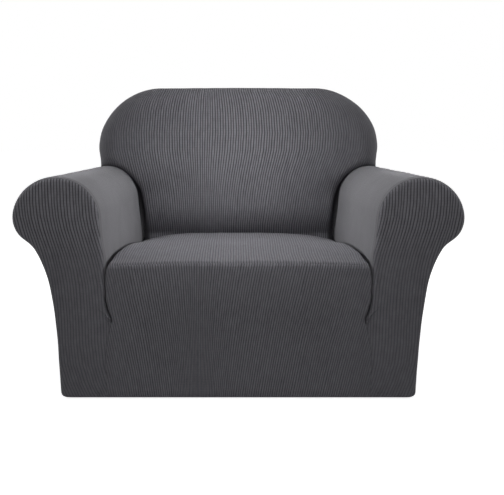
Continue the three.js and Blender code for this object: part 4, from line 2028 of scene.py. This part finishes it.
@dataclass(frozen=True)
class Studio:
    """A pale floor, soft lamps and the camera."""

    lamps: tuple[Lamp, ...] = (
        Lamp("softbox_front", (0, -2.6, 0.8), (0, 0, 0.4), (2.0, 1.0), 5.6),
        Lamp("softbox_over_seat", (0, -0.15, 1.4), (0, -0.1, 0.4), (0.5, 0.5), 2.1),
        Lamp("grid_above", (0, -0.9, 1.9), (0, -0.05, 0.5), (0.5, 0.4), 1.35, 45),
        Lamp("grid_left", (-1.4, -0.45, 1.15), (0.38, -0.2, 0.48), (0.4, 0.4), 0.75, 35),
        Lamp("grid_right", (1.4, -0.45, 1.15), (-0.38, -0.2, 0.48), (0.4, 0.4), 0.75, 35),
        Lamp("softbox_left", (-2.2, 1.2, 0.85), (0, 0, 0.35), (1.0, 1.0), 10.5),
        Lamp("softbox_right", (2.2, 1.2, 0.85), (0, 0, 0.35), (1.0, 1.0), 10.5),
        Lamp("softbox_rear", (0, 2.6, 1.3), (0, 0.3, 0.45), (1.8, 1.0), 14),
    )
    world_strength: float = 0.2  # how much light the world gives, from all sides
    floor_half: float = 30.0
    floor_z: float = -0.001
    floor_tone: float = 0.8
    floor_roughness: float = 0.9
    floor_glow: float = 0.86  # how much light the floor seems to give, beside what it reflects
    lens: float = 41.88  # millimetres
    film: float = 36.0  # width of the picture behind the lens, in millimetres
    shift: Flat = (0.0269, -0.1042)
    camera_place: tuple[float, float, float] = (0, FRONT_Y - 1.5436, 0.7077)
    camera_tilt: float = 5.43  # degrees below the level

    @staticmethod
    def _seen(wiring: Wiring) -> Socket:
        """Tells what the camera sees from what only lights the object.

        Args:
            wiring: The wiring that it is for.

        Returns:
            1 for what the camera sees, directly or in gloss or glass, and 0 otherwise.
        """
        path = wiring.node("LightPath").outputs
        seen = wiring.math("MAXIMUM", path["Is Camera Ray"], path["Is Glossy Ray"])
        return wiring.math("MAXIMUM", seen, path["Is Transmission Ray"])

    def floor(self) -> None:
        """Lays the floor, which keeps the object's shadow on white."""
        material = bpy.data.materials.new("pale_floor")
        wiring = Wiring.of(material)
        colour = (self.floor_tone, self.floor_tone, self.floor_tone, 1)
        shader = wiring.node(
            "BsdfPrincipled",
            base_color=colour,
            roughness=self.floor_roughness,
            specular_ior_level=0.0,
        )
        strength = wiring.math("MULTIPLY", self._seen(wiring), self.floor_glow)
        glow = wiring.node("Emission", strength=strength)
        wiring.node("OutputMaterial", surface=wiring.added(shader.outputs[0], glow.outputs[0]))
        mesh = bpy.data.meshes.new("studio_floor")
        far = self.floor_half
        corners = [(-far, -far, 0), (far, -far, 0), (far, far, 0), (-far, far, 0)]
        mesh.from_pydata(corners, [], [(0, 1, 2, 3)])
        mesh.materials.append(material)
        floor = placed("studio_floor", mesh)
        floor.location.z = self.floor_z

    def world(self) -> None:
        """Sets a dim even light, seen as white."""
        world = bpy.data.worlds.new("studio")
        wiring = Wiring.of(world)
        low = self.world_strength
        strength = wiring.math("MULTIPLY_ADD", self._seen(wiring), 1 - low, low)
        background = wiring.node("Background", color=(1, 1, 1, 1), strength=strength)
        wiring.node("OutputWorld", surface=background.outputs[0])
        bpy.context.scene.world = world

    def camera(self) -> None:
        """Sets the camera in front, a little above the arms, looking slightly down."""
        data = bpy.data.cameras.new("camera")
        data.lens = self.lens
        data.sensor_width = self.film
        data.shift_x, data.shift_y = self.shift
        camera = placed("camera", data)
        camera.location = self.camera_place
        camera.rotation_euler = (math.radians(90 - self.camera_tilt), 0, 0)
        bpy.context.scene.camera = camera

    def build(self) -> None:
        """Sets up the whole studio."""
        self.floor()
        self.world()
        self.camera()
        for lamp in self.lamps:
            lamp.hang()
        bpy.context.scene.view_settings.view_transform = "Standard"


def main() -> None:
    """Builds the studio, the cloths and the cover's pieces."""
    logging.basicConfig(level=logging.INFO, format="%(name)s: %(message)s")
    noise.seed_set(SEED)
    Studio().build()
    weave = RibbedJacquard().group()
    materials = {cloth: cloth.material(weave) for cloth in (RIBBED, ARM_CLOTH_PAINTED_LIGHTER)}
    arm = Arm()
    back = Back(arm)
    seat = Seat(arm, back)
    pieces = [*back.pieces(), *seat.pieces()]
    for side in Side:
        pieces += arm.pieces(side, seat.arm_top, back.arm_face)
    for piece in pieces:
        made = piece.build(materials[piece.cloth])
        log.info("%s: %d points", made.name, len(made.data.vertices))


if __name__ == "__main__":
    main()
